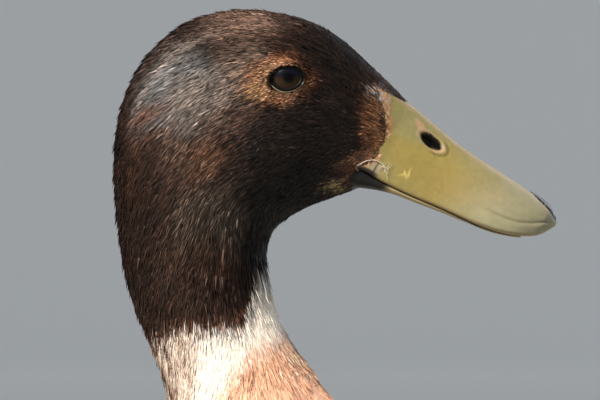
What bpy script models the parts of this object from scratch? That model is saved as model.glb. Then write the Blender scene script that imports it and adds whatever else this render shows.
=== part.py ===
"""A life-size Abacot Ranger drake standing at ease, with its neck drawn back and its bill lowered.

The bird faces +X, its left side is at +Y and it stands on the plane z = 0. Lengths are metres.
Its trunk, neck and head are one surface of rings. Each ring is set by the point where it
crosses the back line and the point where it crosses the front line of the bird's profile,
by its half width, and by how far down it is widest.
"""

import math
import random

import bmesh
import bpy
import numpy as np
from mathutils import Matrix, Vector

MM = 0.001
GAP = 0.30 * MM
SIDES = {"right": -1, "left": 1}
PLUMAGE_SEED = 7

# Profile rings from the bill's root to the tail's root: back x, back z, front x, front z,
# half width and the share of the depth, from the back line, at which the ring is widest.
PROFILE = {
    "bill_root": (134.1, 393.3, 118.0, 365.7, 11.6, 0.52),
    "brow": (126.6, 400.6, 110.5, 363.1, 14.4, 0.55),
    "forehead": (113.7, 412.3, 103.0, 359.9, 18.0, 0.57),
    "eye": (100.0, 418.2, 98.5, 357.1, 20.6, 0.56),
    "crown": (85.0, 420.0, 95.5, 354.7, 21.6, 0.53),
    "crown_back": (68.8, 415.9, 93.9, 351.8, 21.8, 0.49),
    "occiput": (55.9, 404.5, 93.0, 348.7, 21.4, 0.46),
    "nape_top": (48.9, 388.6, 92.7, 345.6, 20.6, 0.46),
    "nape": (47.3, 372.0, 92.9, 342.6, 19.6, 0.48),
    "throat": (48.6, 354.2, 93.7, 337.0, 18.8, 0.50),
    "neck_middle": (51.7, 336.4, 95.8, 329.4, 18.8, 0.50),
    "ring_top": (56.8, 322.9, 100.0, 320.5, 19.8, 0.50),
    "ring_foot": (61.6, 310.7, 106.9, 310.7, 22.0, 0.50),
    "neck_root": (64.0, 298.7, 115.9, 299.0, 26.5, 0.50),
    "shoulder": (61.5, 284.0, 133.0, 279.0, 37.0, 0.52),
    "crop": (53.0, 270.0, 149.0, 248.0, 51.0, 0.55),
    "breast": (36.0, 259.0, 156.5, 206.0, 63.0, 0.57),
    "keel_front": (6.0, 247.0, 145.0, 157.0, 70.0, 0.57),
    "girth": (-35.0, 233.0, 108.0, 107.0, 72.5, 0.56),
    "belly": (-85.0, 213.0, 45.0, 75.0, 71.5, 0.54),
    "thigh_line": (-135.0, 187.0, -35.0, 68.0, 66.0, 0.51),
    "vent": (-175.0, 161.0, -110.0, 85.0, 54.0, 0.48),
    "rump": (-203.0, 143.0, -165.0, 107.0, 39.0, 0.46),
    "tail_root": (-222.0, 132.5, -198.0, 118.0, 32.0, 0.46),
}
RINGS = list(PROFILE)
HEAD_END = RINGS.index("nape") - 0.3
NECK_END = RINGS.index("neck_root") + 0.4
TORSO_END = RINGS.index("rump") + 0.3
TORSO_PLACES = np.linspace(NECK_END, TORSO_END, 20)
TORSO_AROUND = 28
TRUNK_CUTTER_PLACES = np.append(TORSO_PLACES, (22.7, 23.0))
HEAD_PLACES, NECK_PLACES, NECK_AROUND = 17, 11, 26

# Eye: the ball's middle lies inside the head, and the lids are a thin shell over it.
EYE_X, EYE_Z = 98.9, 399.0
EYE_RADIUS = 7.0
EYE_MIDDLE_Y = 11.9
EYE_CLEARANCE = 0.35
LID_THICKNESS = 0.9
LID_HALF_LENGTH, LID_HALF_HEIGHT = 4.9, 3.5
LID_SLANT = math.radians(7)
LID_POINTING = 1.15
LID_DEPTHS = (EYE_MIDDLE_Y + 2.0, EYE_MIDDLE_Y + EYE_RADIUS + 6.0)

# Bill, in its own frame: p runs along the bill, q stands up from it.
BILL_ROOT_X, BILL_ROOT_Z = 127.0, 379.98
BILL_SLOPE = math.radians(30.5)
BILL_P = (-6.0, 0.0, 5.0, 11.0, 18.0, 26.0, 34.0, 42.0, 48.0, 52.5, 55.5, 57.3)
CULMEN_Q = (15.6, 14.9, 14.3, 13.3, 12.15, 11.3, 10.95, 10.6, 10.2, 9.7, 8.4, 6.6)
RIM_Q = (-9.6, -9.7, -9.7, -9.35, -8.6, -7.5, -6.7, -5.5, -3.6, -1.3, 1.5, 4.6)
BILL_HALF_WIDTH = (10.9, 10.9, 10.9, 10.9, 11.1, 11.8, 12.7, 13.1, 12.4, 10.4, 7.6, 4.4)
BILL_PLACES = np.concatenate([(-8.0, -3.0), np.linspace(1.0, BILL_P[-1], 15)])
BILL_ARCH_POINTS, BILL_ARCH_POWER = 13, 0.9
RIM_THICKNESS, RIM_SHARE = 1.0, 0.94
HOLLOW_SHARE, HOLLOW_DEPTH, HOLLOW_AT_TIP = 0.76, 2.6, 0.12
GAPE_Q = -9.85
CHIN_P = (0.0, 5.0, 11.0, 18.0, 26.0, 34.0, 42.0, 50.5)
CHIN_Q = (-15.3, -13.1, -11.2, -10.0, -8.6, -7.35, -5.3, -2.2)
CHIN_ARC_POINTS, LOWER_BILL_PLACES = 9, 11
LOWER_BILL_PLAY, LOWER_RIM_THICKNESS, LOWER_TIP_SHARE = 0.4, 0.7, 0.6
# Where the face's feathers end on the bill, seen from the side: x and z from the top down.
FEATHER_LINE = ((134.4, 392.3), (126.0, 396.5), (127.3, 393.0), (128.4, 388.0), (128.5, 383.5))
FACE_REACH = 0.6
FACE_GAP_SHIFT = (0.20, -0.27)
NOSTRIL_P, NOSTRIL_Q = 12.8, 8.2
NOSTRIL_HALF_LENGTH, NOSTRIL_HALF_HEIGHT = 3.9, 1.75
NOSTRIL_TILT = math.radians(-8)
NAIL_P, NAIL_HALF_LENGTH, NAIL_HALF_WIDTH = 53.6, 6.0, 4.7
NAIL_FLOOR_Q, NAIL_ROOF_Q = 5.4, 16.0

# The trunk's own lengthwise coordinate runs from the breast back and down along this slope.
TRUNK_SLOPE = math.radians(26.6)
TRUNK_START = 232.0

# Folded wing: distance behind the breast, angle of its upper and of its lower edge, thickness.
WING_FORM = (
    (50.0, 68.0, 80.0, 2.0),
    (54.0, 61.0, 88.0, 4.5),
    (62.0, 52.0, 96.0, 7.0),
    (78.0, 42.0, 101.0, 8.5),
    (105.0, 31.0, 97.0, 9.0),
    (140.0, 24.0, 87.0, 8.5),
    (175.0, 19.0, 76.0, 7.0),
    (205.0, 16.0, 65.0, 5.5),
    (230.0, 15.0, 55.0, 4.2),
    (248.0, 17.0, 47.0, 3.0),
    (258.0, 22.0, 40.0, 1.8),
)
WING_SUNK = 3.0
WING_ARC = (0.0, 0.04, 0.14, 0.30, 0.50, 0.70, 0.86, 0.96, 1.0)
WING_ROUNDING = 0.42
WING_ROWS = 13

# Rows of the wing's vanes, each from its uppermost to its lowest vane: how many, then at the
# root and at the tip of the first and of the last vane the distance behind the breast, the
# angle from the back line and the height over the trunk, and last the first and last width.
WING_ROWS_OF_VANES = {
    "primaries": (6, (200, 44, 4.4), (298, 27, 6.6), (108, 93, 1.2), (352, 15, 1.5), 17, 15),
    "secondaries": (6, (150, 46, 4.4), (250, 36, 7.6), (110, 89, 4.4), (206, 65, 5.6), 17, 16),
    "tertials": (4, (136, 22, 5.5), (282, 11, 8.2), (146, 42, 5.5), (258, 34, 8.8), 22, 18),
    "greater_coverts": (6, (120, 42, 6.5), (196, 42, 9.6), (88, 89, 5.5), (158, 80, 7.8), 17, 15),
    "middle_coverts": (5, (98, 44, 6.5), (156, 47, 10.2), (72, 86, 5.5), (122, 88, 8.8), 18, 16),
    "scapulars": (5, (70, 28, -1.6), (172, 15, 9.4), (80, 50, 1.5), (180, 37, 10.8), 24, 21),
}
LONG_ROWS = {"primaries", "tertials"}
VANE_RAISE = 1.7
VANE_THICKNESS = 0.7
VANE_STATIONS = (0.0, 0.30, 0.62, 0.87, 1.0)
BROAD_VANE = (0.55, 0.92, 1.0, 0.78, 0.28)
LONG_VANE_STATIONS = (0.0, 0.18, 0.36, 0.54, 0.72, 0.89, 1.0)
LONG_VANE = (0.55, 0.80, 1.0, 1.0, 0.90, 0.60, 0.14)
LENGTH_SCATTER, ANGLE_SCATTER = 2.0, 0.8

# Tail: its plane slopes down and back from the middle of its root.
TAIL_SLOPE = math.radians(9)
TAIL_MIDDLE = (-209.0, 125.0)
TAIL_LENGTH = 86.0
TAIL_AROUND = 20
TAIL_CORE_PLACES = np.linspace(TORSO_END, 22.9, 4)
# Rings of the tail's core: share of the tail's length, half width, half height.
TAIL_CORE = ((0.15, 33.0, 6.6), (0.32, 32.0, 5.2), (0.48, 28.0, 3.6), (0.60, 21.0, 1.8))
# Its vanes: how many, shares of the length at root and tip, fan angle, height over the plane,
# how far the outermost hangs below the middle ones, width and spread of the roots.
TAIL_ROWS = {
    "tail_feather": (14, 0.12, 1.00, math.radians(19), 1.4, 3.0, 15.0, 24.0),
    "tail_covert": (5, 0.10, 0.72, math.radians(10.5), 4.5, 3.0, 18.0, 20.0),
    "under_tail_covert": (5, 0.10, 0.66, math.radians(10.5), -3.1, -1.2, 18.0, 20.0),
}
TAIL_CORNER_SHORTER = 0.20
TAIL_LENGTH_SCATTER = 0.012
TAIL_ARCH = 0.0022
TAIL_VANE_TILT = 1.5
# The drake's curled feathers
CURL_VANES = 4
CURL_SPACING, CURL_WIDTH = 7.0, 8.0
CURL_RADIUS, CURL_MIDDLE_RADIUS = 11.0, 12.6
CURL_ROOT, CURL_MIDDLE_ROOT, CURL_RISE = 0.10, 0.15, 4.0
CURL_TURN = math.radians(235)
CURL_TIGHTENING = 0.30
CURL_LENGTHWAYS, CURL_UPRIGHT = 1.15, 0.95
CURL_LEAN, CURL_LEAN_END, CURL_SPLAY = 22.0, 0.8, 0.14
CURL_OUTLINE = (0.6, 0.85, 1.0, 1.0, 0.97, 0.85, 0.35)

# Legs and feet: level rings are x, distance out from the middle, z, half depth, half width.
HOCK_Z = 62.0
THIGH_RINGS = (
    (-39.0, 38.0, HOCK_Z + 0.15, 7.0, 5.6),
    (-38.0, 38.0, 66.0, 9.0, 7.6),
    (-34.0, 37.5, 73.0, 13.5, 11.0),
    (-28.0, 36.5, 84.0, 19.0, 14.5),
    (-20.0, 35.0, 100.0, 23.0, 17.0),
)
SHANK_RINGS = (
    (-22.0, 38.0, 8.3, 5.4, 4.8),
    (-22.4, 38.0, 13.0, 4.9, 4.2),
    (-24.5, 38.0, 24.0, 4.5, 3.8),
    (-28.0, 38.0, 36.0, 4.7, 3.9),
    (-32.5, 38.0, 47.0, 5.4, 4.5),
    (-36.5, 38.0, 56.0, 6.6, 5.4),
    (-38.5, 38.0, HOCK_Z - 0.15, 6.6, 5.4),
)
KNOB_RINGS = (
    (-22.0, 38.0, 0.35, 6.2, 5.7),
    (-22.0, 38.0, 2.0, 6.9, 6.35),
    (-22.0, 38.0, 5.0, 6.6, 6.05),
    (-22.0, 38.0, 8.0, 5.8, 5.35),
)
ANKLE_X, ANKLE_Y = -22.0, 38.0
FOOT_TURN = math.radians(8)
TOE_ANGLES = (math.radians(-27), 0.0, math.radians(25))
TOE_LENGTHS = (50.0, 63.0, 57.0)
TOE_STARTS = (-3.0, -2.0, -1.0)
TOE_HEIGHT, TOE_HALF_WIDTH, TOE_EDGE_HEIGHT = 5.2, 3.6, 0.7
TOE_NARROWING, TOE_LOWERING, SOLE_SHARE = 0.22, 0.25, 0.85
TOE_SHARES = (0.0, 0.22, 0.40, 0.62, 0.80, 0.93, 1.0)
TOE_SWELL = (1.10, 0.95, 1.05, 0.92, 0.98, 0.82, 0.66)
HIND_TOE_LENGTH, HIND_TOE_ANGLE = 14.0, math.radians(168)
# Rings of the hind toe: share of its length, radius and height of its middle.
HIND_TOE_RINGS = ((0.0, 2.6, 5.2), (0.5, 2.4, 4.0), (1.0, 1.9, 2.8))
WEB_FLOOR, WEB_THICKNESS = 0.6, 1.4
WEB_REACH, WEB_HEEL, WEB_SCALLOP, WEB_STEPS = 0.9, 4.0, 0.15, 6
CLAW_LENGTH, CLAW_RADIUS, CLAW_TAPER = 7.5, 1.9, 0.82
CLAW_ROOT_Z, CLAW_TIP_Z, CLAW_BEND, CLAW_LIFT = 2.0, 0.75, 1.6, 0.15


def spline(knots, values, at):
    """A natural cubic spline through values at knots, evaluated at the given places."""
    x = np.asarray(knots, float)
    y = np.asarray(values, float)
    at = np.atleast_1d(np.asarray(at, float))
    n = len(x)
    step = np.diff(x)
    rise = np.diff(y) / step
    system = np.eye(n)
    target = np.zeros(n)
    for i in range(1, n - 1):
        system[i, i - 1 : i + 2] = step[i - 1], 2 * (step[i - 1] + step[i]), step[i]
        target[i] = 3 * (rise[i] - rise[i - 1])
    curve = np.linalg.solve(system, target)
    slope = rise - step * (2 * curve[:-1] + curve[1:]) / 3
    cubic = np.diff(curve) / (3 * step)
    k = np.clip(np.searchsorted(x, at, side="right") - 1, 0, n - 2)
    d = at - x[k]
    return y[k] + d * (slope[k] + d * (curve[k] + d * cubic[k]))


def ring_sizes(u):
    """Back point, front point, half width and widest share of the ring at place u, in metres."""
    table = np.array([PROFILE[name] for name in RINGS], float)
    places = np.arange(len(RINGS))
    bx, bz, fx, fz, width, widest = (spline(places, table[:, c], u) for c in range(6))
    back = np.stack([bx, 0 * bx, bz], -1) * MM
    front = np.stack([fx, 0 * fx, fz], -1) * MM
    return back, front, width * MM, widest


def body_point(u, v):
    """The point of the plumage at place u along the bird and angle v round it, 0 at the back.

    Down from the back line the depth goes as widest * (1 - cos v) to the widest level, and
    then as the rest of the depth times -cos v, while the half width goes as sin v.
    """
    u, v = np.broadcast_arrays(np.asarray(u, float), np.asarray(v, float))
    back, front, width, widest = ring_sizes(u.ravel())
    c, s = np.cos(v.ravel()), np.sin(v.ravel())
    share = np.where(c > 0, widest * (1 - c), widest - (1 - widest) * c)
    place = back + (front - back) * share[:, None]
    place[:, 1] = width * s
    return place.reshape(u.shape + (3,))


def body_normal(u, v):
    """The outward normal of the plumage, from two small steps on the surface."""
    step = 1e-3
    along = body_point(u + step, v) - body_point(u - step, v)
    across = body_point(u, v + step) - body_point(u, v - step)
    normal = np.cross(across, along)
    return normal / np.linalg.norm(normal, axis=-1, keepdims=True)


def body_out(u, v, height):
    """A point that stands out from the plumage by height."""
    return body_point(u, v) + body_normal(u, v) * np.asarray(height)[..., None]


def material(name, colour, roughness):
    """A plain finish of one colour."""
    made = bpy.data.materials.new(name)
    made.use_nodes = True
    shader = made.node_tree.nodes["Principled BSDF"]
    shader.inputs["Base Color"].default_value = (*colour, 1)
    shader.inputs["Roughness"].default_value = roughness
    return made


def object_from(name, verts, faces, finish):
    """An object from points and faces, with its faces turned outwards."""
    mesh = bpy.data.meshes.new(name)
    mesh.from_pydata([tuple(p) for p in np.asarray(verts)], [], [tuple(f) for f in faces])
    shape = bmesh.new()
    shape.from_mesh(mesh)
    bmesh.ops.remove_doubles(shape, verts=shape.verts, dist=1e-6)
    bmesh.ops.recalc_face_normals(shape, faces=shape.faces)
    shape.to_mesh(mesh)
    shape.free()
    mesh.update()
    made = bpy.data.objects.new(name, mesh)
    bpy.context.scene.collection.objects.link(made)
    if finish:
        mesh.materials.append(finish)
    return made


def tube(name, rings, finish):
    """A closed body from a row of rings with as many points each, capped flat at both ends."""
    rings = np.asarray(rings)
    count, around = rings.shape[:2]
    faces = []
    for i in range(count - 1):
        for j in range(around):
            a, b = i * around + j, i * around + (j + 1) % around
            faces += [(a, b, b + around), (a, b + around, a + around)]
    faces.append(tuple(range(around)))
    faces.append(tuple((count - 1) * around + j for j in reversed(range(around))))
    return object_from(name, rings.reshape(-1, 3), faces, finish)


def ring_plane(u):
    """The normal, pointing towards the tail, of the flat plane of the ring at place u."""
    back, front, _, _ = ring_sizes(np.array([u]))
    down = (front - back)[0]
    normal = np.cross(down, (0, 1, 0))
    normal /= np.linalg.norm(normal)
    ahead, _, _, _ = ring_sizes(np.array([u + 0.01]))
    return normal if np.dot(ahead[0] - back[0], normal) > 0 else -normal


def trunk_piece(name, places, around, finish, inflate=0.0, first_shift=GAP / 2):
    """The length of the bird along some ring places, drawn in by half a gap at each flat end."""
    v = np.linspace(0, 2 * math.pi, around, endpoint=False)
    grid_u, grid_v = np.meshgrid(places, v, indexing="ij")
    rings = body_out(grid_u, grid_v, np.full(grid_u.shape, inflate))
    rings[0] = body_point(grid_u[0], grid_v[0]) + ring_plane(places[0]) * first_shift
    rings[-1] = body_point(grid_u[-1], grid_v[-1]) - ring_plane(places[-1]) * GAP / 2
    return tube(name, rings, finish)


def boolean(target, other, operation):
    """Joins or cuts target by another object or collection, applies it and removes the other."""
    modifier = target.modifiers.new("boolean", "BOOLEAN")
    modifier.operation = operation
    modifier.solver = "EXACT"
    if isinstance(other, bpy.types.Collection):
        modifier.operand_type = "COLLECTION"
        modifier.collection = other
        gone = list(other.objects)
    else:
        modifier.object = other
        gone = [other]
    bpy.context.view_layer.update()
    graph = bpy.context.evaluated_depsgraph_get()
    result = bpy.data.meshes.new_from_object(target.evaluated_get(graph))
    target.modifiers.clear()
    target.data = result
    for piece in gone:
        bpy.data.objects.remove(piece)
    if isinstance(other, bpy.types.Collection):
        bpy.data.collections.remove(other)
    keep_largest(target)


def keep_largest(target):
    """Keeps the largest closed surface of an object and drops loose scraps and sealed hollows."""
    shape = bmesh.new()
    shape.from_mesh(target.data)
    bmesh.ops.triangulate(shape, faces=shape.faces)
    bmesh.ops.remove_doubles(shape, verts=shape.verts, dist=1e-6)
    shape.verts.ensure_lookup_table()
    unseen = set(shape.verts)
    groups = []
    while unseen:
        stack = [unseen.pop()]
        group = set(stack)
        while stack:
            for edge in stack.pop().link_edges:
                for vert in edge.verts:
                    if vert in unseen:
                        unseen.remove(vert)
                        group.add(vert)
                        stack.append(vert)
        groups.append(group)
    largest = max(groups, key=lambda g: extent(g))
    rest = [v for g in groups if g is not largest for v in g]
    bmesh.ops.delete(shape, geom=rest, context="VERTS")
    shape.to_mesh(target.data)
    shape.free()


def extent(group):
    """The diagonal of the box round some vertices."""
    places = np.array([v.co for v in group])
    return float(np.linalg.norm(places.max(0) - places.min(0)))


def collection_of(name, pieces):
    """Puts pieces in a collection of their own, for one Boolean union."""
    made = bpy.data.collections.new(name)
    bpy.context.scene.collection.children.link(made)
    for piece in pieces:
        for owner in list(piece.users_collection):
            owner.objects.unlink(piece)
        made.objects.link(piece)
    return made


def ball(name, middle, radius, segments, rings, finish=None):
    """A round ball."""
    mesh = bpy.data.meshes.new(name)
    shape = bmesh.new()
    bmesh.ops.create_uvsphere(
        shape, u_segments=segments, v_segments=rings, radius=radius,
        matrix=Matrix.Translation(middle) @ Matrix.Rotation(math.pi / 2, 4, "X"),
    )
    shape.to_mesh(mesh)
    shape.free()
    made = bpy.data.objects.new(name, mesh)
    bpy.context.scene.collection.objects.link(made)
    if finish:
        mesh.materials.append(finish)
    return made


def prism(name, floor, roof, finish=None):
    """A closed prism between two outlines with as many points each."""
    count = len(floor)
    faces = [(k, (k + 1) % count, count + (k + 1) % count, count + k) for k in range(count)]
    faces += [tuple(range(count)), tuple(range(2 * count - 1, count - 1, -1))]
    return object_from(name, [*floor, *roof], faces, finish)


def oval(sides, half_length, half_height, tilt=0.0, pointing=1.0):
    """Points round an oval turned by tilt, whose ends are the more pointed the higher the power."""
    points = []
    for k in range(sides):
        a = 2 * math.pi * k / sides
        along = half_length * math.cos(a)
        up = half_height * math.copysign(abs(math.sin(a)) ** pointing, math.sin(a))
        points.append((along * math.cos(tilt) - up * math.sin(tilt),
                       along * math.sin(tilt) + up * math.cos(tilt)))
    return points


def eye_middle(side):
    return Vector((EYE_X * MM, side * EYE_MIDDLE_Y * MM, EYE_Z * MM))


def lid_opening(side):
    """A cutter shaped as the opening between the lids, a lens that slants up to the front."""
    lens = oval(20, LID_HALF_LENGTH, LID_HALF_HEIGHT, LID_SLANT, LID_POINTING)
    walls = [[((EYE_X + along) * MM, side * depth * MM, (EYE_Z + up) * MM) for along, up in lens]
             for depth in LID_DEPTHS]
    return prism("lid_opening", *walls)


def bill_place(p, y, q):
    """A point of the bill's own frame, in metres in the bird's frame."""
    x = BILL_ROOT_X + p * math.cos(BILL_SLOPE) + q * math.sin(BILL_SLOPE)
    z = BILL_ROOT_Z - p * math.sin(BILL_SLOPE) + q * math.cos(BILL_SLOPE)
    return (x * MM, y * MM, z * MM)


def root_p(q):
    """How far along the bill the flat front of the head lies at height q, plus the gap."""
    back, front, _, _ = ring_sizes(np.array([0.0]))
    ends = []
    for x, _, z in (back[0] / MM, front[0] / MM):
        dx, dz = x - BILL_ROOT_X, z - BILL_ROOT_Z
        ends.append((dx * math.cos(BILL_SLOPE) - dz * math.sin(BILL_SLOPE),
                     dx * math.sin(BILL_SLOPE) + dz * math.cos(BILL_SLOPE)))
    (p_back, q_back), (p_front, q_front) = ends
    share = (q - q_front) / (q_back - q_front)
    return p_front + share * (p_back - p_front) + GAP / MM / 2 / math.cos(0.1)


def hollow_depth(p):
    """How far the underside of the upper bill is hollowed above its rims, shallow at the tip."""
    return HOLLOW_DEPTH * np.interp(p, (BILL_P[-3], BILL_P[-1]), (1.0, HOLLOW_AT_TIP))


def upper_bill_ring(p, culmen, rim, width):
    """One ring of the upper bill: an arch from rim to rim over a hollow underside.

    The height goes as cos of the angle, and the width as its sin to a power under one.
    """
    points = []
    foot = rim + RIM_THICKNESS
    for a in np.linspace(-math.pi / 2, math.pi / 2, BILL_ARCH_POINTS):
        y = width * math.copysign(abs(math.sin(a)) ** BILL_ARCH_POWER, a)
        points.append((p, y, foot + (culmen - foot) * math.cos(a)))
    inner = HOLLOW_SHARE + 0.05
    depth = hollow_depth(p)
    for share, rise in ((RIM_SHARE, 0.0), (inner, 0.1), (HOLLOW_SHARE, depth),
                        (-HOLLOW_SHARE, depth), (-inner, 0.1), (-RIM_SHARE, 0.0)):
        points.append((p, width * share, rim + rise))
    return [bill_place(*point) for point in points]


def upper_bill(name):
    """The whole upper bill, its root sunk into the face."""
    rows = zip(BILL_PLACES, spline(BILL_P, CULMEN_Q, BILL_PLACES), spline(BILL_P, RIM_Q, BILL_PLACES),
               spline(BILL_P, BILL_HALF_WIDTH, BILL_PLACES))
    return tube(name, [upper_bill_ring(*row) for row in rows], None)


def side_prism(name, outline, half_width):
    """A prism across the bird from an outline of x and z in its side view."""
    walls = [[(x * MM, y * MM, z * MM) for x, z in outline] for y in (-half_width, half_width)]
    return prism(name, *walls)


def feather_line_cutter(name, below, shift):
    """A cutter over all that lies before the face's feathers, closed below by further points."""
    outline = [(150.0, 400.0), *FEATHER_LINE, *below, (200.0, 400.0)]
    dx, dz = FACE_GAP_SHIFT
    return side_prism(name, [(x + shift * dx, z + shift * dz) for x, z in outline], 30.0)


def before_feathers():
    """All of the face that lies before its feathers, down past the chin, for the head."""
    back, front, _, _ = ring_sizes(np.array([0.0]))
    x, _, z = (front[0] + 0.25 * (front - back)[0]) / MM
    return feather_line_cutter("before_feathers", [(x, z), (150.0, 340.0), (200.0, 340.0)], -1)


def above_gape():
    """All of the face that lies before its feathers and above the mouth, for the upper bill."""
    roof = RIM_Q[1] + HOLLOW_DEPTH + GAP / MM
    below = []
    for p, q in ((root_p(roof), roof), (1.6, roof), (1.9, GAPE_Q), (75.0, GAPE_Q)):
        x, _, z = bill_place(p, 0.0, q)
        below.append((x / MM, z / MM))
    return feather_line_cutter("above_gape", below, 1)


def nail_prism(name, grow):
    """An upright oval cutter round the nail at the tip of the upper bill."""
    shape = oval(18, NAIL_HALF_LENGTH + grow, NAIL_HALF_WIDTH + grow)
    walls = [[bill_place(NAIL_P + along, across, q) for along, across in shape]
             for q in (NAIL_FLOOR_Q - grow, NAIL_ROOF_Q)]
    return prism(name, *walls)


def make_head(feathers, horn, eye_finish):
    """The head, with a socket for each eye under a shell that forms both lids, and the upper bill.

    Face and bill are one form that is parted along the line where the feathers end.
    """
    places = np.linspace(0, HEAD_END, HEAD_PLACES)
    head = trunk_piece("head", places, NECK_AROUND, feathers, first_shift=-FACE_REACH * MM)
    boolean(head, upper_bill("upper_bill"), "UNION")
    bill = head.copy()
    bill.data = head.data.copy()
    bill.name = "bill_upper"
    bpy.context.scene.collection.objects.link(bill)
    bill.data.materials.clear()
    bill.data.materials.append(horn)
    boolean(head, before_feathers(), "DIFFERENCE")
    boolean(bill, above_gape(), "INTERSECT")
    bulges = [
        ball("lid", eye_middle(s), (EYE_RADIUS + EYE_CLEARANCE + LID_THICKNESS) * MM, 16, 10)
        for s in SIDES.values()
    ]
    boolean(head, collection_of("lids", bulges), "UNION")
    for side in SIDES.values():
        boolean(head, lid_opening(side), "DIFFERENCE")
        socket = ball("socket", eye_middle(side), (EYE_RADIUS + EYE_CLEARANCE) * MM, 16, 10)
        boolean(head, socket, "DIFFERENCE")
    for word, side in SIDES.items():
        ball(f"eye_{word}", eye_middle(side), EYE_RADIUS * MM, 12, 8, eye_finish)
    return bill


def nostril_cutter():
    """An oval bar across the bill that opens both nostrils into one another."""
    outline = []
    for along, up in oval(14, NOSTRIL_HALF_LENGTH, NOSTRIL_HALF_HEIGHT, NOSTRIL_TILT):
        x, _, z = bill_place(NOSTRIL_P + along, 0.0, NOSTRIL_Q + up)
        outline.append((x / MM, z / MM))
    return side_prism("nostril", outline, 20.0)


def make_lower_bill(horn):
    """The lower bill, which lies between the rims of the upper one and ends before its tip."""
    places = np.linspace(0.0, CHIN_P[-1], LOWER_BILL_PLACES)
    chin = spline(CHIN_P, CHIN_Q, places)
    top = spline(BILL_P, RIM_Q, places) + hollow_depth(places) - GAP / MM
    width = spline(BILL_P, BILL_HALF_WIDTH, places) * HOLLOW_SHARE - LOWER_BILL_PLAY
    width[-1] *= LOWER_TIP_SHARE
    rings = []
    for i, p in enumerate(places):
        edge = top[i] - LOWER_RIM_THICKNESS
        ring = [(p, width[i] * math.sin(a), edge - (edge - chin[i]) * math.cos(a))
                for a in np.linspace(-math.pi / 2, math.pi / 2, CHIN_ARC_POINTS)]
        ring += [(p, 0.9 * width[i], top[i]), (p, -0.9 * width[i], top[i])]
        if i == 0:
            ring = [(root_p(q), y, q) for _, y, q in ring]
        rings.append([bill_place(*point) for point in ring])
    tube("bill_lower", rings, horn)


def make_bill(upper, horn, nail_finish):
    """The open nostrils and the nail of the upper bill, and the lower bill under it."""
    nail = upper_bill("bill_nail")
    nail.data.materials.append(nail_finish)
    boolean(nail, nail_prism("nail_shape", 0.0), "INTERSECT")
    boolean(upper, nail_prism("nail_seat", GAP / MM), "DIFFERENCE")
    boolean(upper, nostril_cutter(), "DIFFERENCE")
    make_lower_bill(horn)


def along_trunk(u, v):
    """How far behind the breast a point of the plumage lies, in millimetres."""
    place = body_point(u, v) / MM
    return TRUNK_START - place[..., 0] * math.cos(TRUNK_SLOPE) - place[..., 2] * math.sin(TRUNK_SLOPE)


def trunk_place(a, v):
    """The place u at which the line of angle v comes a millimetres behind the breast."""
    a, v = np.broadcast_arrays(np.asarray(a, float), np.asarray(v, float))
    u = np.full(a.shape, 18.0)
    for _ in range(14):
        value = along_trunk(u, v)
        slope = (along_trunk(u + 0.01, v) - value) / 0.01
        u = np.clip(u + (a - value) / slope, 13.5, 23.9)
    return u


def on_trunk(a, v, height, side):
    """A point at height, in millimetres, over the trunk, and the outward normal there."""
    a, v = np.broadcast_arrays(np.asarray(a, float), np.asarray(v, float))
    u = trunk_place(a, v)
    normal = body_normal(u, v)
    place = body_point(u, v) + normal * (np.asarray(height, float) * MM)[..., None]
    turn = np.array([1.0, side, 1.0])
    return place * turn, normal * turn


def wing_form(a):
    """Upper angle, lower angle and thickness of the folded wing, a millimetres behind the breast."""
    table = np.array(WING_FORM)
    return [np.interp(a, table[:, 0], table[:, c]) for c in (1, 2, 3)]


def wing_height(a, v):
    """The height of the wing's core over the trunk, falling off to its edges."""
    top, bottom, thick = wing_form(a)
    across = np.clip((v - np.radians(top)) / np.radians(bottom - top), 0, 1)
    return -WING_SUNK + (thick + WING_SUNK) * np.sin(math.pi * across) ** WING_ROUNDING


def wing_core(name, side, finish):
    """The arm of the wing and the roots of its feathers, its inner face sunk into the plumage."""
    rings = []
    for a in np.linspace(WING_FORM[0][0], WING_FORM[-1][0], WING_ROWS):
        top, bottom, _ = wing_form(a)
        outer = np.radians(top + (bottom - top) * np.array(WING_ARC))
        inner = np.radians(top + (bottom - top) * np.array((0.8, 0.5, 0.2)))
        v = np.concatenate([outer, inner])
        height = np.concatenate([wing_height(a, outer), np.full(3, -WING_SUNK - 2)])
        place, _ = on_trunk(np.full(v.shape, a), v, height, side)
        rings.append(place)
    return tube(name, rings, finish)


def plate(name, left, right, normal, thickness):
    """A closed thin plate between two edges, split into triangles alike on both faces."""
    half = normal * thickness / 2
    verts = np.concatenate([left + half, right + half, left - half, right - half])
    n = len(left)
    upper_left, upper_right, lower_left, lower_right = 0, n, 2 * n, 3 * n
    last = n - 1
    faces = [
        (upper_left, upper_right, lower_right),
        (upper_left, lower_right, lower_left),
        (upper_left + last, lower_right + last, upper_right + last),
        (upper_left + last, lower_left + last, lower_right + last),
    ]
    for i in range(last):
        j = i + 1
        faces += [
            (upper_left + i, upper_left + j, upper_right + j),
            (upper_left + i, upper_right + j, upper_right + i),
            (lower_left + i, lower_right + j, lower_left + j),
            (lower_left + i, lower_right + i, lower_right + j),
            (upper_left + i, lower_left + i, lower_left + j),
            (upper_left + i, lower_left + j, upper_left + j),
            (upper_right + i, upper_right + j, lower_right + j),
            (upper_right + i, lower_right + j, lower_right + i),
        ]
    return object_from(name, verts, faces, None)


def vane_along(name, middle, normal, width, outline, raised):
    """A vane along a line of points: its width follows the outline, one edge stands raised."""
    run = np.gradient(middle, axis=0)
    across = np.cross(normal, run)
    across /= np.linalg.norm(across, axis=1, keepdims=True)
    half = width / 2 * MM * np.array(outline)[:, None]
    lift = raised / 2 * MM * normal * np.array(outline)[:, None]
    return plate(name, middle + across * half + lift, middle - across * half - lift, normal,
                 VANE_THICKNESS * MM)


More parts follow.
